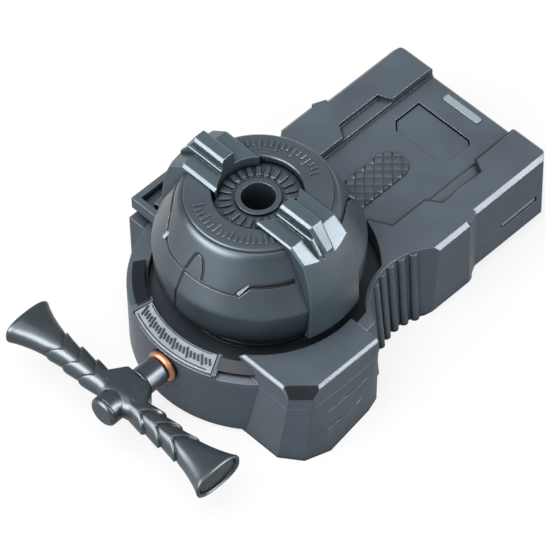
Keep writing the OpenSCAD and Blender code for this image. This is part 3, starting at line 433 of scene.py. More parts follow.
def moulded_plastic(name, colour, roughness, metallic=0.12, edge_wear_and_highlight=0.5, edge=0.4, seam_shade_kept=0.08, hollow_shade_kept=0.15,
                    fade=None):
    """Satin plastic with fine grain, faint clouds, paler edges, and painted shade in seams and hollows.

    After the metallic come the strength and the width of the paler edges, which are partly wear and partly
    a painted highlight; then what is left of the colour in the painted shade of seams and of hollows. Fade,
    if given, is a low and a high place, and what is left at the low one: painted shade towards the bottom.
    """
    finish, tree, shader, place = new_finish(name, Metallic=metallic)
    links = tree.links
    grain = noise(tree, place, scale=2600, detail=3)
    cloud = noise(tree, place, scale=70, detail=5)
    shape = add_node(tree, "NewGeometry").outputs["Normal"]
    rounded = add_node(tree, "Bevel", {"Radius": edge * MM}, samples=SHADE_SAMPLES).outputs["Normal"]
    links.new(ramp(tree, z_of(tree, shape), GLOSS_SLOPE, GLOSS), shader.inputs["Specular IOR Level"])
    # The paler edge colour is partly wear and partly a painted highlight.
    worn_highlight_colour = (*[min(1, part * WORN_HIGHLIGHT_GAIN + WORN_HIGHLIGHT_LIFT) for part in colour], 1)
    paler = add_node(tree, "Mix", {MIX_SECOND: worn_highlight_colour}, data_type="RGBA")
    links.new(worn_and_highlit_edges(tree, shape, rounded, edge_wear_and_highlight), paler.inputs[MIX_AMOUNT])
    clouded = times(tree, colour, ramp(tree, cloud, CLOUD_RANGE, (1 - MOTTLE, 1 + MOTTLE)))
    links.new(clouded, paler.inputs[MIX_FIRST])
    surface = paler.outputs[MIX_RESULT]
    # Painted shade: the colour is darkened where seams and hollows are closed in.
    for (reach, openness), darkest in ((SEAM_SHADE_REACH, seam_shade_kept), (HOLLOW_SHADE_REACH, hollow_shade_kept)):
        occlusion = add_node(tree, "AmbientOcclusion", {"Distance": reach * MM}, samples=SHADE_SAMPLES)
        surface = times(tree, surface, ramp(tree, occlusion.outputs["AO"], openness, (darkest, 1)))
    # Painted shade: the colour is darkened towards the low place.
    if fade:
        low, high, darkest = fade
        surface = times(tree, surface, ramp(tree, z_of(tree, place), (low * MM, high * MM), (darkest, 1)))
    links.new(surface, shader.inputs["Base Color"])
    dull = ramp(tree, cloud, CLOUD_RANGE, [roughness + stray for stray in PLASTIC_STRAY])
    links.new(dull, shader.inputs["Roughness"])
    bumped(tree, shader, grain, strength=0.3, depth=0.03, under=rounded)
    return finish


def plain_metal(name, colour, roughness):
    """Machined metal with fine marks and uneven gloss."""
    finish, tree, shader, place = new_finish(name, Base_Color=(*colour, 1), Metallic=1.0)
    marks = noise(tree, place, scale=900, detail=4)
    dull = ramp(tree, marks, (0, 1), [roughness + stray for stray in METAL_STRAY])
    tree.links.new(dull, shader.inputs["Roughness"])
    bumped(tree, shader, marks, strength=0.3, depth=0.02)
    return finish


def braided_cord(name):
    """White nylon cord: a fine crossing braid along its length."""
    finish, tree, shader, place = new_finish(name, Roughness=0.75)
    braid = add_node(tree, "TexWave", {"Scale": 900, "Distortion": 1.5}, wave_type="BANDS",
                     bands_direction="DIAGONAL")
    colour = add_node(tree, "ValToRGB")
    colour.color_ramp.elements[0].color = (0.5, 0.51, 0.49, 1)
    colour.color_ramp.elements[1].color = (0.78, 0.79, 0.76, 1)
    tree.links.new(place, braid.inputs["Vector"])
    tree.links.new(braid.outputs["Fac"], colour.inputs["Fac"])
    tree.links.new(colour.outputs["Color"], shader.inputs["Base Color"])
    bumped(tree, shader, braid.outputs["Fac"], strength=0.6, depth=0.06)
    return finish


HOUSING_COLOUR = (0.128, 0.163, 0.2)
GUNMETAL = moulded_plastic("gunmetal_plastic", HOUSING_COLOUR, 0.38, metallic=0.08)
TRAY_GUNMETAL = moulded_plastic("tray_plastic", HOUSING_COLOUR, 0.38, metallic=0.08, edge_wear_and_highlight=0.05)
HEAD_GUNMETAL = moulded_plastic("head_plastic", (0.098, 0.128, 0.154), 0.3, metallic=0.15)
# The dome's colour is darkened towards its foot, a painted shade of the lower skirt.
DOME_GUNMETAL = moulded_plastic("dome_plastic", (0.072, 0.1, 0.124), 0.33, metallic=0.2,
                                fade=(30.0, 42.5, 0.3))
HANDLE_GUNMETAL = moulded_plastic("handle_plastic", (0.07, 0.091, 0.106), 0.34, metallic=0.32, hollow_shade_kept=0.5)
CLAW_GUNMETAL = moulded_plastic("claw_plastic", (0.106, 0.15, 0.18), 0.34, metallic=0.12, edge_wear_and_highlight=0.7)
PAD_GUNMETAL = moulded_plastic("pad_plastic", (0.098, 0.124, 0.152), 0.45, edge_wear_and_highlight=0.3, edge=0.12)
CAP_GUNMETAL = moulded_plastic("cap_plastic", (0.1, 0.12, 0.135), 0.38)
DARK = moulded_plastic("dark_plastic", (0.018, 0.023, 0.028), 0.45, metallic=0.0, edge_wear_and_highlight=0.05)
INLAY = moulded_plastic("inlay_plastic", (0.46, 0.56, 0.62), 0.4, metallic=0.0, seam_shade_kept=0.5, hollow_shade_kept=0.9)
PANEL = moulded_plastic("panel_plastic", (0.006, 0.012, 0.02), 0.3, metallic=0.0, edge_wear_and_highlight=0.0)
LABEL_PALE = moulded_plastic("label_plastic", (0.46, 0.54, 0.6), 0.4, metallic=0.0, hollow_shade_kept=0.7)
COPPER = plain_metal("ring_copper", (0.36, 0.17, 0.105), 0.5)
STEEL = plain_metal("steel", (0.55, 0.56, 0.58), 0.3)
BRASS = plain_metal("brass", (0.62, 0.47, 0.22), 0.32)
CORD = braided_cord("cord_nylon")


# Dome

# The dome's wall as radius and height: up its outside, over the round plate's seat, and down its inside
SEAT_GAP = 0.05
SEAT_R = PLATE_R + SEAT_GAP
SEAT_Z = 57.6
WEB_UNDER = 54.4
DOME_FOOT = [(24.2, HEAD_FOOT), (28.1, HEAD_FOOT), (28.4, 29.15), (28.4, 30.2), (29.1, 31.1), (29.2, 31.5)]
DOME_SKIRT = [(29.45, 35.0), (29.6, 39.9)]
DOME_SHOULDER = [(29.5, 40.5), (29.2, 41.3), (28.8, 42.2)]
DOME_CONE = [(28.53, 42.8), (26.4, 47.5), (24.3, 52.1), (22.5, 56.1)]
DOME_BROW = [(22.15, 56.8), (21.65, 57.5), (21.15, 57.95), (20.8, 58.15), (SEAT_R, 58.2)]
DOME_SEAT = [(SEAT_R, SEAT_Z), (HUB_R, SEAT_Z), (HUB_R, WEB_UNDER)]
DOME_INSIDE = [(20.9, WEB_UNDER), (27.0, 40.4), (27.4, 38.0), (26.2, 30.4), DOME_FOOT[0]]

# What the lines are laid on: an even skirt, and above it a cone between two pairs of radius and height
SKIRT_TOP = 40
SKIRT_R = 29.5
CONE_FOOT = (28.8, 42.2)
CONE_TOP = (22.1, 57.0)

# Steps along a line of the dome, in degrees and in height
LINE_TURN = 2.0
LINE_RISE = 1.2
# Lines of one half of the dome, as angle and height, with the radius of the cutter
DEEP_R = 0.9
DEEP_LINES = [
    [(112, 54.6), (132, 54.2), (139, 53.2), (145.6, 50.8), (152.5, 48.0)],
    [(212.2, 46.9), (219.1, 49.7), (248, 49.8)],
]
THIN_R = 0.42
THIN_LINES = [
    [(152.5, 48.0), (160, 47.4), (211.5, 46.9)],
    [(172.3, 31.6), (174.6, 37.0), (175.3, 42.0), (175.6, 47.2), (177.6, 50.6), (179.6, 53.2),
     (182.0, 54.2), (185.0, 53.9), (187.2, 52.6), (188.8, 50.0), (189.2, 47.4)],
]
# A dark tube laid deep in each line paints the shade in its groove: its depth and size as shares of its
# cutter's radius
GROOVE_SHADE_DEPTH = 0.85
GROOVE_SHADE_SIZE = 0.75
# Strips of lighter plastic at the steps of the deep lines, a painted highlight: angle, height, direction
# and facing
EDGE_HIGHLIGHT_STRIPS = [
    (149.2, 49.3, (-2.6, 1.6, -4.4), (-0.70, 0.10, 0.70)),
    (215.8, 48.4, (4.0, -1.5, 3.3), (-0.60, 0.12, 0.79)),
]
HIGHLIGHT_STRIP_SIZE = (4.2, 1.3, 0.8)
HIGHLIGHT_STRIP_DEPTH = 0.35
SMALL_EDGE = 0.12


def dome_radius(z):
    """Outer radius of the dome at a height."""
    if z < SKIRT_TOP:
        return SKIRT_R
    (foot_r, foot_z), (top_r, top_z) = CONE_FOOT, CONE_TOP
    return foot_r - (z - foot_z) * (foot_r - top_r) / (top_z - foot_z)


def on_dome(angle, z, lift=0.0):
    """A point on the dome, or a little above or below its skin."""
    return polar(dome_radius(z) + lift, angle, z)


def dome_line(stops, lift=0.0):
    """Points on the dome, in even steps through stops of angle and height."""
    points = []
    for (a0, z0), (a1, z1) in zip(stops, stops[1:]):
        count = max(2, int(abs(a1 - a0) / LINE_TURN), int(abs(z1 - z0) / LINE_RISE))
        for i in range(count):
            points.append(on_dome(a0 + (a1 - a0) * i / count, z0 + (z1 - z0) * i / count, lift))
    return points + [on_dome(*stops[-1], lift)]


def make_dome():
    profile = DOME_FOOT + DOME_SKIRT + DOME_SHOULDER + DOME_CONE + DOME_BROW + DOME_SEAT + DOME_INSIDE
    dome = turned("dome_shell", profile, loop=True)
    seams = []
    for half in HALVES:
        for radius, lines in ((DEEP_R, DEEP_LINES), (THIN_R, THIN_LINES)):
            for stops in lines:
                stops = [(angle + half, z) for angle, z in stops]
                carve(dome, tube_along("line_cutter", dome_line(stops), radius))
                # A dark tube in each groove stands in for the shade inside it.
                seams.append(tube_along("seam", dome_line(stops, -GROOVE_SHADE_DEPTH * radius), GROOVE_SHADE_SIZE * radius))
    smooth(dome, angle=24, weighted=False)
    dress(dome, "head", "head_plastic", DOME_GUNMETAL, "dome")
    dress(joined("dome_seams", seams), "head", "dark_plastic", DARK)


# Strips of the lighter claw plastic on the steps of the deep lines paint their highlight.
def make_dome_highlight_strips():
    strips = []
    for half in HALVES:
        turn = Matrix.Rotation(math.radians(half), 3, "Z")
        for angle, z, along, facing in EDGE_HIGHLIGHT_STRIPS:
            place = turn @ on_dome(angle, z, -HIGHLIGHT_STRIP_DEPTH)
            along, facing = turn @ Vector(along), turn @ Vector(facing)
            strips.append(bar_at("strip", place, along, facing, HIGHLIGHT_STRIP_SIZE, SMALL_EDGE))
    dress(joined("dome_highlight_strips", strips), "head", "head_plastic", CLAW_GUNMETAL)


# Marks in place of words

# Two arcs of ticks on the round plate: first angle and number
PLATE_ARCS = ((150, 19), (-22, 17))
PLATE_PITCH = 5.5
PLATE_MARK_R = 18.4
PLATE_LONG = 3.6
PLATE_SHORT = 2.2
PLATE_TICK = (0.9, 0.6)

HUB_MARKS = 24
HUB_MARK_R = 9.3
HUB_MARK_Z = 56.5
HUB_MARK = (3.1, 1.45, 0.9)
HUB_MARK_EDGE = 0.16

# Radius and height of the label's inner and outer edge, of the middle of its ticks, and of its lines
LABEL_IN = (31.6, 25.4)
LABEL_OUT = (36.8, 23.4)
LABEL_MIDDLE = (34.2, 24.42)
LABEL_LINES = ((32.0, 25.25), (36.3, 23.6))
LABEL_LINE_ANGLES = range(157, 203, 2)
LABEL_LINE_R = 0.14
LABEL_START = 157.5
LABEL_SPAN = 44.0
LABEL_TICKS = 23
LABEL_LONG = 3.1
LABEL_SHORT = 1.9
LABEL_TICK = (0.62, 0.3)
LABEL_TICK_EDGE = 0.05
LABEL_LEAN = 0.45


def make_plate_marks():
    """Raised ticks in two arcs on the round plate, every third one longer."""
    marks = []
    for start, count in PLATE_ARCS:
        for i in range(count):
            angle = start + PLATE_PITCH * i
            length = PLATE_LONG if i % 3 == 0 else PLATE_SHORT
            place = polar(PLATE_MARK_R - length / 2, angle, PLATE_TOP)
            marks.append(bar_at("mark", place, polar(1, angle), UP, (length, *PLATE_TICK), SMALL_EDGE))
    dress(joined("plate_marks", marks), "head", "head_plastic", HEAD_GUNMETAL)


def make_hub_marks():
    """Blocks round the hub, one on each of its dial marks."""
    marks = []
    for i in range(HUB_MARKS):
        angle = 360 / HUB_MARKS * i
        place = polar(HUB_MARK_R, angle, HUB_MARK_Z)
        marks.append(bar_at("mark", place, polar(1, angle), UP, HUB_MARK, HUB_MARK_EDGE))
    dress(joined("hub_marks", marks), "head", "head_plastic", HEAD_GUNMETAL)


def make_label_marks():
    """A plain gauge on the label band: slanted ticks between two thin lines, every fourth one longer."""
    marks = []
    slope = Vector((LABEL_OUT[0] - LABEL_IN[0], 0, LABEL_OUT[1] - LABEL_IN[1])).normalized()
    lean = Vector((slope.x, LABEL_LEAN, slope.z))
    facing = Vector((-slope.z, 0, slope.x))
    middle = Vector((LABEL_MIDDLE[0], 0, LABEL_MIDDLE[1]))
    for i in range(LABEL_TICKS):
        turn = Matrix.Rotation(math.radians(LABEL_START + LABEL_SPAN * i / (LABEL_TICKS - 1)), 3, "Z")
        size = (LABEL_LONG if i % 4 == 0 else LABEL_SHORT, *LABEL_TICK)
        marks.append(bar_at("mark", turn @ middle, turn @ lean, turn @ facing, size, LABEL_TICK_EDGE))
    for r, z in LABEL_LINES:
        line = [polar(r, angle, z) for angle in LABEL_LINE_ANGLES]
        marks.append(tube_along("line", line, LABEL_LINE_R))
    dress(joined("label_marks", marks), "casing", "dark_plastic", DARK)


# Trim of the housing

# Corners of the near rail's inner edge, seen from above, and the ends of its pocket's edge
RAIL_CORNERS = [(84.3, -16.2), (68.9, -16.2), (66.85, -20.3), (51.27, -20.3), (48.4, -16.2), (35.6, -16.2),
                (32.4, -9.8), (29.5, -9.8)]
# Dark tubes along these edges paint the shade at their steps.
RAIL_SHADE_Z = 27.12
RAIL_SHADE_R = 0.36
POCKET_CORNERS = [(68.7, -16.2), (48.6, -16.2)]
POCKET_SHADE_Z = 25.42
POCKET_SHADE_R = 0.3

# Middle of the strip in the far side's slot, which comes again on the near side
INLAY_PLACE = (73.3, 28.9, 11.4)
INLAY_SIZE = (13.6, 1.5, 0.5)
INLAY_EDGE = 0.15

PANEL_T = 0.5
# Corners of the slanted notch on the near ear, the way it faces, and how far its panel stands out
NOTCH = [(-25.95, -36.84, 24.67), (-25.52, -37.47, 24.54), (-21.57, -41.42, 24.54), (-20.84, -41.65, 24.87),
         (-18.61, -41.4, 26.5), (-18.2, -40.6, 27.3), (-24.8, -34.0, 27.3)]
NOTCH_FACE = Vector((-0.48, -0.48, 0.73))
NOTCH_LIFT = 0.08
# Dark panels on the collar, which paint the shade there: first and last angle, and their radius and height
# at the inner and the outer edge
COLLAR_SHADE_ARCS = ((205.6, 226), (128, 153.6))
COLLAR_IN = (31.9, 25.36)
COLLAR_OUT = (35.6, 23.93)
COLLAR_STEPS = 24

PAD_EDGE = 0.2
# Grooves of the thumb pad: distance, size, and how many on each side of the middle
GROOVE_PITCH = 2.65
GROOVE = (40, 0.6, 0.6)
GROOVES = 5


def make_rail_shade_lines():
    """Dark tubes along the near rail and its pocket, which paint the shade beside their steps."""
    rail = [(x, y, RAIL_SHADE_Z) for x, y in RAIL_CORNERS]
    pocket = [(x, y, POCKET_SHADE_Z) for x, y in POCKET_CORNERS]
    lines = [tube_along("line", rail, RAIL_SHADE_R), tube_along("line", pocket, POCKET_SHADE_R)]
    dress(joined("rail_shade_lines", lines), "casing", "dark_plastic", DARK)


def make_slot_inlays():
    """Pale strips in the slots along the sides of the grip."""
    x, y, z = INLAY_PLACE
    strips = [bar_at("inlay", (x, side * y, z), (1, 0, 0), (0, side, 0), INLAY_SIZE, INLAY_EDGE)
              for side, _ in SIDES]
    dress(joined("slot_inlays", strips), "casing", "label_plastic", INLAY)


def make_notch_panel():
    """The dark panel in the slanted notch of the near ear."""
    face = face_of("notch_panel", [Vector(corner) + NOTCH_FACE * NOTCH_LIFT for corner in NOTCH])
    dress(pulled(face, -PANEL_T * NOTCH_FACE), "casing", "dark_plastic", PANEL)


def collar_shade_panel(start, end):
    """A thin curved plate on the collar's cone, spun round the axis between two angles.

    With no window, spin turns clockwise, so its angle is negative here.
    """
    top = [polar(r, start, z) for r, z in (COLLAR_IN, COLLAR_OUT)]
    panel = face_of("panel", top + [corner - PANEL_T * UP for corner in reversed(top)])
    edit(panel)
    bpy.ops.mesh.spin(steps=COLLAR_STEPS, angle=math.radians(start - end), center=(0, 0, 0), axis=UP)
    face_out(panel, weld=True)
    return panel


def make_collar_shade_panels():
    """The dark glossy panels on both sides of the label, which paint the shade on the collar there."""
    panels = [collar_shade_panel(*arc) for arc in COLLAR_SHADE_ARCS]
    dress(joined("collar_shade_panels", panels), "casing", "dark_plastic", PANEL)


def make_thumb_pad():
    """The pad with its diamond knurl: two sets of V grooves that cross."""
    pad = merged_copy("thumb_pad", "knurled_pad")
    soften(pad, PAD_EDGE)
    middle = Vector((sum(PAD_X) / 2, sum(PAD_Y) / 2, PAD_TOP))
    for heading in (45, -45):
        along, across = polar(1, heading), polar(1, heading + 90)
        bars = [bar_at("groove", middle + across * GROOVE_PITCH * i, along, across + UP, GROOVE)
                for i in range(-GROOVES, GROOVES + 1)]
        carve(pad, joined("grooves", bars))
    smooth(pad, angle=25, weighted=False)
    dress(pad, "casing", "dark_plastic", PAD_GUNMETAL, "thumb_pad")


# Claws

# Outer radius and height of the head over the claws, from the foot up
CLAW_PROFILE = [(29.9, HEAD_FOOT), (30.3, 29.3), (30.35, 36.0), (30.3, 41.0), (30.05, 44.5), (29.6, 47.5),
                (28.9, 50.5), (28.0, 53.5), (26.9, 56.4)]
CLAW_IN_R = 11.2
CLAW_HALF = 8.6
# Where the strips begin, inside the pillar, as distance from the axis and height
CLAW_DEEP = 8.0
CLAW_LOW = 50.0
# Above any claw
CLAW_LIMIT = 66.0
# Sides of the rib between the strips, and how far its slanted end is narrowed on the left
RIB_X = (-2.7, 1.9)
RIB_TOP = 64.9
RIB_PINCH = 1.5
LEFT_X = (-CLAW_HALF, RIB_X[0])
RIGHT_X = (RIB_X[1], CLAW_HALF)
# How far the ledge stands out of the rib's left side, and how far it reaches into it
LEDGE_OUT = 0.8
LEDGE_IN = 0.5
LEDGE_X = (RIB_X[0] - LEDGE_OUT, RIB_X[0] + LEDGE_IN)
# Chamfers of the left and right strips, and of the rib and the ledge on both their sides
LEFT_CHAMFER = {"near": 0.5, "far": 0.85}
RIGHT_CHAMFER = 0.6
RIB_CHAMFERS = (0.85, 0.45)
LEDGE_CHAMFERS = (0.3, 0)
# Points within these distances belong to one side of a strip, and to its foot or top
SIDE_REACH = 1.6
LEVEL_REACH = 1.0
PILLAR_TOP = 55.55
PILLAR_OUT = 35.0
PILLAR_SPREAD = 1.0


def strip_outline(top, brow, end, end_z):
    """A strip's distances from the axis and heights: level as far as its brow, then down to its end."""
    return [(CLAW_DEEP, CLAW_LOW), (CLAW_DEEP, top), (brow, top), (end, end_z), (end, CLAW_LOW)]


STRIP = strip_outline(60.3, 20.9, 29.6, 53.8)
RIB = strip_outline(RIB_TOP, 22.5, 28.4, 54.6)
LEDGE = strip_outline(61.7, 23.6, 28.8, 54.4)


def chamfer_side(strip, x, width):
    """Bevels the edges of a strip along one of its sides, but for the foot."""
    edit(strip)
    bpy.ops.mesh.select_mode(type="EDGE")
    bpy.ops.mesh.select_all(action="DESELECT")
    leave_edit()
    for line in strip.data.edges:
        ends = [strip.data.vertices[i].co / MM for i in line.vertices]
        line.select = all(abs(end.x - x) < SIDE_REACH and end.z > CLAW_LOW + LEVEL_REACH for end in ends)
    bpy.ops.object.mode_set(mode="EDIT")
    bpy.ops.mesh.bevel(offset=width * MM, segments=1, affect="EDGES")
    leave_edit()


def make_strip(outline, sides, chamfers, side):
    """One strip of a claw between two places across it, with the widths of its chamfers there."""
    face = face_of("strip", [(sides[0], side * reach, z) for reach, z in outline])
    strip = pulled(face, (sides[1] - sides[0], 0, 0))
    if outline is RIB:
        for vertex in strip.data.vertices:
            on_left = vertex.co.x / MM < sides[0] + SAME_PLACE
            if on_left and CLAW_LOW + LEVEL_REACH < vertex.co.z / MM < RIB_TOP - LEVEL_REACH:
                vertex.co.x += RIB_PINCH * MM
    for x, width in zip(sides, chamfers):
        if width:
            chamfer_side(strip, x, width)
    return strip


def make_pillar(side):
    """The block under a claw, a little wider at its foot."""
    middle = (0, side * (CLAW_DEEP + PILLAR_OUT) / 2, (HEAD_FOOT + PILLAR_TOP) / 2)
    size = (PILLAR_OUT - CLAW_DEEP, 2 * CLAW_HALF, PILLAR_TOP - HEAD_FOOT)
    pillar = bar_at("pillar", middle, (0, 1, 0), UP, size)
    for vertex in pillar.data.vertices:
        if vertex.co.z / MM < middle[2]:
            vertex.co.x *= (CLAW_HALF + PILLAR_SPREAD) / CLAW_HALF
    return pillar


def make_claw(side, suffix):
    """A claw: two flat strips with a tall rib between them, on a pillar that follows the dome."""
    claw = make_strip(STRIP, LEFT_X, (LEFT_CHAMFER[suffix], 0), side)
    others = [
        make_strip(STRIP, RIGHT_X, (0, RIGHT_CHAMFER), side),
        make_strip(RIB, RIB_X, RIB_CHAMFERS, side),
        make_strip(LEDGE, LEDGE_X, LEDGE_CHAMFERS, side),
        make_pillar(side),
    ]
    for part in others:
        carve(claw, part, "UNION")
    inside = [(CLAW_IN_R, CLAW_LIMIT), (CLAW_IN_R, HEAD_FOOT)]
    limit = [inside[-1], *CLAW_PROFILE, (CLAW_PROFILE[-1][0], CLAW_LIMIT), *inside]
    carve(claw, turned("limit", limit, facets=192, loop=True), "INTERSECT")
    claw.name = "claw_form_" + suffix
    smooth(claw, angle=22)
    dress(claw, "head", "head_plastic", CLAW_GUNMETAL, "claw_" + suffix)


# Handle

# Places along an arm, from the middle of the bar: where its trumpet starts, and where the V has faded out
FLARE_START = 21.6
FLARE_EVEN = 36.0
# Where each scale starts, and the trumpet after them
SCALE_STARTS = [2.6, SLEEVE_IN, 15.3, FLARE_START]
# Where on the bar each V points inwards, from -1 at its front to 1 at its back, and how far it sweeps out
APEX = -0.35
SWEEP_FRONT = 3.8
SWEEP_BACK = 4.6
# Where the arm starts to open and to square off, and how
OPENING_START = 22.0
OPENING_POWER = 1.9
SQUARE_START = 24
SQUARE_GAIN = 0.6

# Profiles as place along the arm and height over the sleeve. A scale goes from its foot by shares of its
# length to its lip, whose places count back from its end. The flare's places count from where it starts.
SCALE_FOOT = (0.05, -0.42)
SCALE_SWELL = [(0.25, -0.2), (0.55, 0.08), (0.8, 0.26)]
SCALE_LIP = [(0.45, 0.36), (0.2, 0.3), (0.04, 0.05)]
FLARE_STEP = 1.2
FLARE_STEPS = 11
FLARE = [(0.05, -0.35), (1.0, -0.2)] + [(1.0 + FLARE_STEP * i, -0.1) for i in range(1, FLARE_STEPS + 1)]
# The middle of the handle reaches this far under the arms
CENTRE_LAP = 0.6
CENTRE_IN = (0.3, -0.9)
CENTRE_OUT = (SLEEVE_IN + CENTRE_LAP, -0.6)
RIM = [(36.6, -0.05), (37.3, 0), (37.7, -0.15), (37.93, -0.45), (38.0, -0.8), (37.9, -1.0), (37.6, -1.15),
       (35.9, -1.15)]
CAP = [(35.95, -1.3), (36.9, -1.3), (37.15, -1.45), (37.3, -1.8)]
# Profiles of the core, along the bar, and of the nub, towards the front, as radius and place
CORE = [(3.0, -9.0), (4.0, -4.0), (4.25, -2.6), (4.25, 2.6), (4.0, 4.0), (3.0, 9.0)]
NUB = [(3.2, 0.0), (4.0, 1.5), (4.5, 2.6), (4.5, 6.1)]
# The web towards the neck starts this far ahead of the bar's axis
WEB_AHEAD = 0.5
# Its front and back, low and high edge, half width, share of that at the back, and rounding
WEB_X = (BAR_X - WEB_AHEAD, -46.3)
WEB_Z = (12.9, 21.3)
WEB_HALF = 9.6
WEB_TAPER = 0.48
WEB_ROUND = 0.9


def half_widths(s):
    """Half widths of a grip arm, across and up, at a distance from the middle of the bar."""
    opening = max(0, (s - OPENING_START) / (HALF_BAR - OPENING_START))
    return (SLEEVE_R + (FLARE_W / 2 - SLEEVE_R) * opening ** OPENING_POWER,
            SLEEVE_R + (FLARE_T / 2 - SLEEVE_R) * opening)


def swept(across):
    """How far a ring is swept outwards at a place across the bar, which makes it a V."""
    if across > APEX:
        return SWEEP_BACK * (across - APEX) / (1 - APEX)
    return SWEEP_FRONT * (APEX - across) / (1 + APEX)


def shaped_arm(name, rings, side):
    """A turned blank that is bent into the oval, flared and V-scaled form of one grip arm."""
    arm = turned(name, [(SLEEVE_R + lift, u) for u, lift in rings], facets=64)
    for vertex in arm.data.vertices:
        x, y, u = vertex.co / MM
        r = math.hypot(x, y)
        across, up = (x / r, y / r) if r > SAME_PLACE else (0.0, 0.0)
        fade = 1 - max(0, min(1, (u - FLARE_START) / (FLARE_EVEN - FLARE_START)))
        s = u + swept(across) * fade
        wide, high = half_widths(s)
        lift = r - SLEEVE_R
        oval = 2 + SQUARE_GAIN * max(0, (s - SQUARE_START) / (HALF_BAR - SQUARE_START))
        across = math.copysign(abs(across) ** (2 / oval), across)
        up = math.copysign(abs(up) ** (2 / oval), up)
        bent = Vector(((wide + lift) * across, side * s, (high + lift) * up))
        vertex.co = (Vector((BAR_X, 0, CORD_Z)) + bent) * MM
    face_out(arm)
    return arm


def scale_rings(start, end):
    """Rings of one scale, which swells towards its outer end and then steps down."""
    swell = [(start + share * (end - start), lift) for share, lift in SCALE_SWELL]
    lip = [(end - back, lift) for back, lift in SCALE_LIP]
    return [(start + SCALE_FOOT[0], SCALE_FOOT[1]), *swell, *lip]


def make_grip_arm(side, suffix):
    """A grip arm: overlapping V-shaped scales, then a trumpet that ends in a rim round its cap."""
    rings = scale_rings(SCALE_STARTS[1], SCALE_STARTS[2]) + scale_rings(SCALE_STARTS[2], SCALE_STARTS[3])
    rings += [(FLARE_START + place, lift) for place, lift in FLARE]
    arm = shaped_arm("grip_arm_" + suffix, rings + RIM, side)
    smooth(arm, angle=50, weighted=False)
    dress(arm, "handle", "handle_plastic", HANDLE_GUNMETAL, "grip_sleeve_" + suffix)
    cap = shaped_arm("oval_cap_" + suffix, CAP, side)
    smooth(cap, angle=40, weighted=False)
    dress(cap, "handle", "handle_plastic", CAP_GUNMETAL, "end_cap_" + suffix)


def on_bar(name, profile, facets, turn):
    """A turned piece that is laid over, by angles in degrees, and put on the middle of the bar."""
    piece = turned(name, profile, facets)
    piece.rotation_euler = [math.radians(angle) for angle in turn]
    piece.location = Vector((BAR_X, 0, CORD_Z)) * MM
    settle(piece)
    return piece


def make_handle_centre():
    """The middle of the handle: the first scales, the core and nub, and the web towards the neck."""
    rings = [CENTRE_IN, *scale_rings(SCALE_STARTS[0], SLEEVE_IN), CENTRE_OUT]
    centre, other = [shaped_arm("inner_scale", rings, side) for side, _ in SIDES]
    core = on_bar("core", CORE, facets=48, turn=(90, 0, 0))
    nub = on_bar("nub", NUB, facets=64, turn=(0, -90, 0))
    (front, back), (low, high) = WEB_X, WEB_Z
    corners = [(front, side * WEB_HALF, z) for side, z in ((1, low), (1, high), (-1, high), (-1, low))]
    web = pulled(face_of("web", corners), (back - front, 0, 0), WEB_TAPER)
    modify(web, "BEVEL", width=WEB_ROUND * MM, segments=3)
    for part in (other, core, nub, web):
        carve(centre, part, "UNION")
    centre.name = "handle_centre"
    smooth(centre, angle=40, weighted=False)
    dress(centre, "handle", "handle_plastic", HANDLE_GUNMETAL, "handle_core")


# Pull cord

# Its straight run starts at the knot, in even steps
CORD_START = -55.6
CORD_STEP = 0.8
CORD_STEPS = 27
# Its route inside the housing, up to 4 mm from the drum
CORD_INSIDE = [(-34.2, 0, CORD_Z), (-26, 2.6, 14.2), (-18, 5.2, 11.4), (-10, 7.8, 9.8), (-8.1, 8.27, 9.8)]


def make_pull_cord():
    """The cord from the knot in the handle to the eyelet and in."""
    straight = [(CORD_START + CORD_STEP * i, 0, CORD_Z) for i in range(CORD_STEPS)]
    cord = tube_along("drawn_cord", straight + CORD_INSIDE, CORD_R)
    smooth(cord, angle=60, weighted=False)
    coat(cord, CORD)
    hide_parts("pull_cord")
    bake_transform(cord)


# Pieces that keep their CAD shape

# Pieces that show, with the width of their rounded edges
SHELLS = [
    ("lower_casing", "casing", "housing_plastic", TRAY_GUNMETAL, 0),
    ("upper_casing", "casing", "housing_plastic", GUNMETAL, 0),
    ("front_collar", "casing", "housing_plastic", GUNMETAL, 0),
    ("label_plate", "casing", "label_plastic", LABEL_PALE, 0.2),
    ("cover_plate", "casing", "housing_plastic", GUNMETAL, 0.2),
    ("rear_insert", "casing", "label_plastic", LABEL_PALE, 0.2),
    ("top_plate", "head", "head_plastic", HEAD_GUNMETAL, 0.25),
    ("hub_disc", "head", "head_plastic", HEAD_GUNMETAL, 0.12),
    ("hub_sleeve", "head", "head_plastic", HEAD_GUNMETAL, 0.2),
    ("handle_neck", "handle", "handle_plastic", HANDLE_GUNMETAL, 0.2),
    ("nub_cap", "handle", "handle_plastic", HANDLE_GUNMETAL, 0.3),
]
# The cover plate's top lies lower than in its solid: what is above the first height sinks by the second
COVER_TOP = 24.2
COVER_SINK = 0.45
# Pieces inside the housing, and metal parts, whose solids show
PLAIN = {
    "casing_screws": STEEL, "cord_eyelet": BRASS, "bumper_ring": COPPER, "axle": STEEL,
    "axle_washer": STEEL, "axle_screw": STEEL, "spring_barrel": DARK, "barrel_screws": STEEL,
    "spiral_spring": STEEL, "reel": DARK, "reel_cover": DARK, "pawl_pins": STEEL, "wound_cord": CORD,
    "pawl_a": BRASS, "pawl_b": BRASS, "ratchet_cup": DARK, "bearing_bush": BRASS, "head_screws": STEEL,
    "cord_knot": CORD,
}


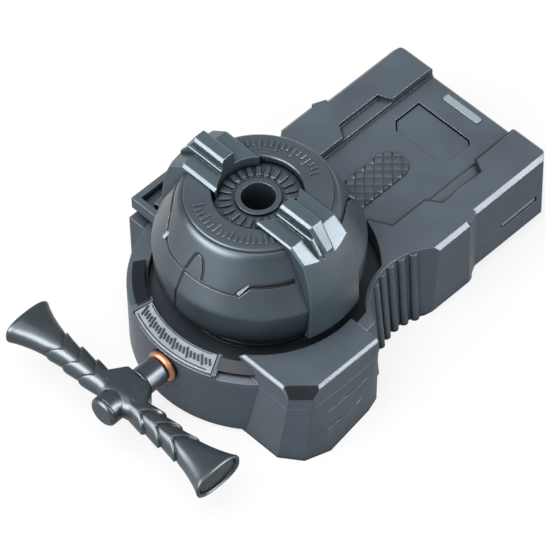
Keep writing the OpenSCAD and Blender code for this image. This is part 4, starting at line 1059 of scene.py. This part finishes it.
def make_shell(node, body, slot, finish, width):
    """A copy of a CAD node, with rounded edges where it has a width for them."""
    piece = merged_copy(node, node + "_shell")
    if node == "cover_plate":
        for vertex in piece.data.vertices:
            if vertex.co.z > COVER_TOP * MM:
                vertex.co.z -= COVER_SINK * MM
    if width:
        soften(piece, width)
    else:
        smooth(piece, angle=20)
    dress(piece, body, slot, finish, node)


def dress_plain(node, finish):
    """Gives a CAD node its finish and leaves its solid to show."""
    thing = frame["nodes"][node]
    for place in thing.material_slots:
        place.material = finish
    if not thing.material_slots:
        thing.data.materials.append(finish)


# Camera, floor and light

def make_camera():
    azimuth, elevation = math.radians(CAMERA_AZIMUTH), math.radians(CAMERA_ELEVATION)
    back = Vector((
        math.sin(azimuth) * math.cos(elevation),
        -math.cos(azimuth) * math.cos(elevation),
        math.sin(elevation),
    ))
    right = Vector((math.cos(azimuth), math.sin(azimuth), 0))
    up = back.cross(right)
    roll = math.radians(CAMERA_ROLL)
    right, up = right * math.cos(roll) + up * math.sin(roll), up * math.cos(roll) - right * math.sin(roll)
    data = bpy.data.cameras.new("camera")
    data.lens = CAMERA_LENS
    data.sensor_width = SENSOR_WIDTH
    data.clip_start, data.clip_end = CAMERA_REACH
    camera = bpy.data.objects.new("camera", data)
    bpy.context.scene.collection.objects.link(camera)
    turn = Matrix((right, up, back)).transposed().to_4x4()
    camera.matrix_world = Matrix.Translation((CAMERA_TARGET + back * CAMERA_DISTANCE) * MM) @ turn
    bpy.context.scene.camera = camera


def make_stage():
    """A matt floor that glows for the eye and in gloss, so that it is white and keeps its shadow."""
    bpy.ops.object.select_all(action="DESELECT")
    bpy.ops.mesh.primitive_plane_add(size=FLOOR_SIZE, location=(0, 0, 0))
    floor = bpy.context.object
    floor.name = "floor"
    material = bpy.data.materials.new("floor_paper")
    material.use_nodes = True
    tree = material.node_tree
    links = tree.links
    shader = tree.nodes["Principled BSDF"]
    shader.inputs["Base Color"].default_value = (FLOOR_GREY, FLOOR_GREY, FLOOR_GREY, 1)
    shader.inputs["Roughness"].default_value = FLOOR_ROUGHNESS
    rays = add_node(tree, "LightPath").outputs
    seen = rays["Is Camera Ray"]
    for ray in ("Is Glossy Ray", "Is Transmission Ray"):
        either = add_node(tree, "Math", operation="MAXIMUM")
        links.new(seen, either.inputs[0])
        links.new(rays[ray], either.inputs[1])
        seen = either.outputs[0]
    amount = add_node(tree, "Math", {1: FLOOR_GLOW}, operation="MULTIPLY")
    links.new(seen, amount.inputs[0])
    glow = add_node(tree, "Emission")
    links.new(amount.outputs[0], glow.inputs["Strength"])
    both = add_node(tree, "AddShader")
    links.new(shader.outputs["BSDF"], both.inputs[0])
    links.new(glow.outputs["Emission"], both.inputs[1])
    links.new(both.outputs["Shader"], tree.nodes["Material Output"].inputs["Surface"])
    floor.data.materials.append(material)


def soft_box(name, direction, distance, width, height, power, gloss_only):
    """An area light that looks at the object."""
    lamp = bpy.data.lights.new(name, "AREA")
    lamp.shape = "RECTANGLE"
    lamp.size, lamp.size_y = width, height
    lamp.energy = power
    holder = bpy.data.objects.new(name, lamp)
    bpy.context.scene.collection.objects.link(holder)
    holder.location = Vector(direction).normalized() * distance
    holder.rotation_euler = (-holder.location).to_track_quat("-Z", "Y").to_euler()
    holder.visible_diffuse = not gloss_only


def make_light():
    world = bpy.data.worlds.new("world")
    bpy.context.scene.world = world
    world.use_nodes = True
    background = world.node_tree.nodes["Background"]
    background.inputs["Color"].default_value = (1, 1, 1, 1)
    background.inputs["Strength"].default_value = WORLD_LIGHT
    for name, settings in SOFT_BOXES.items():
        soft_box(name, *settings)


make_camera()
make_stage()
make_light()
make_dome()
make_dome_highlight_strips()
make_plate_marks()
make_hub_marks()
make_label_marks()
make_rail_shade_lines()
make_slot_inlays()
make_notch_panel()
make_collar_shade_panels()
make_thumb_pad()
for side, suffix in SIDES:
    make_grip_arm(side, suffix)
    make_claw(side, suffix)
make_handle_centre()
make_pull_cord()
for shell in SHELLS:
    make_shell(*shell)
for node, finish in PLAIN.items():
    dress_plain(node, finish)
bpy.context.scene.view_settings.view_transform = "Standard"
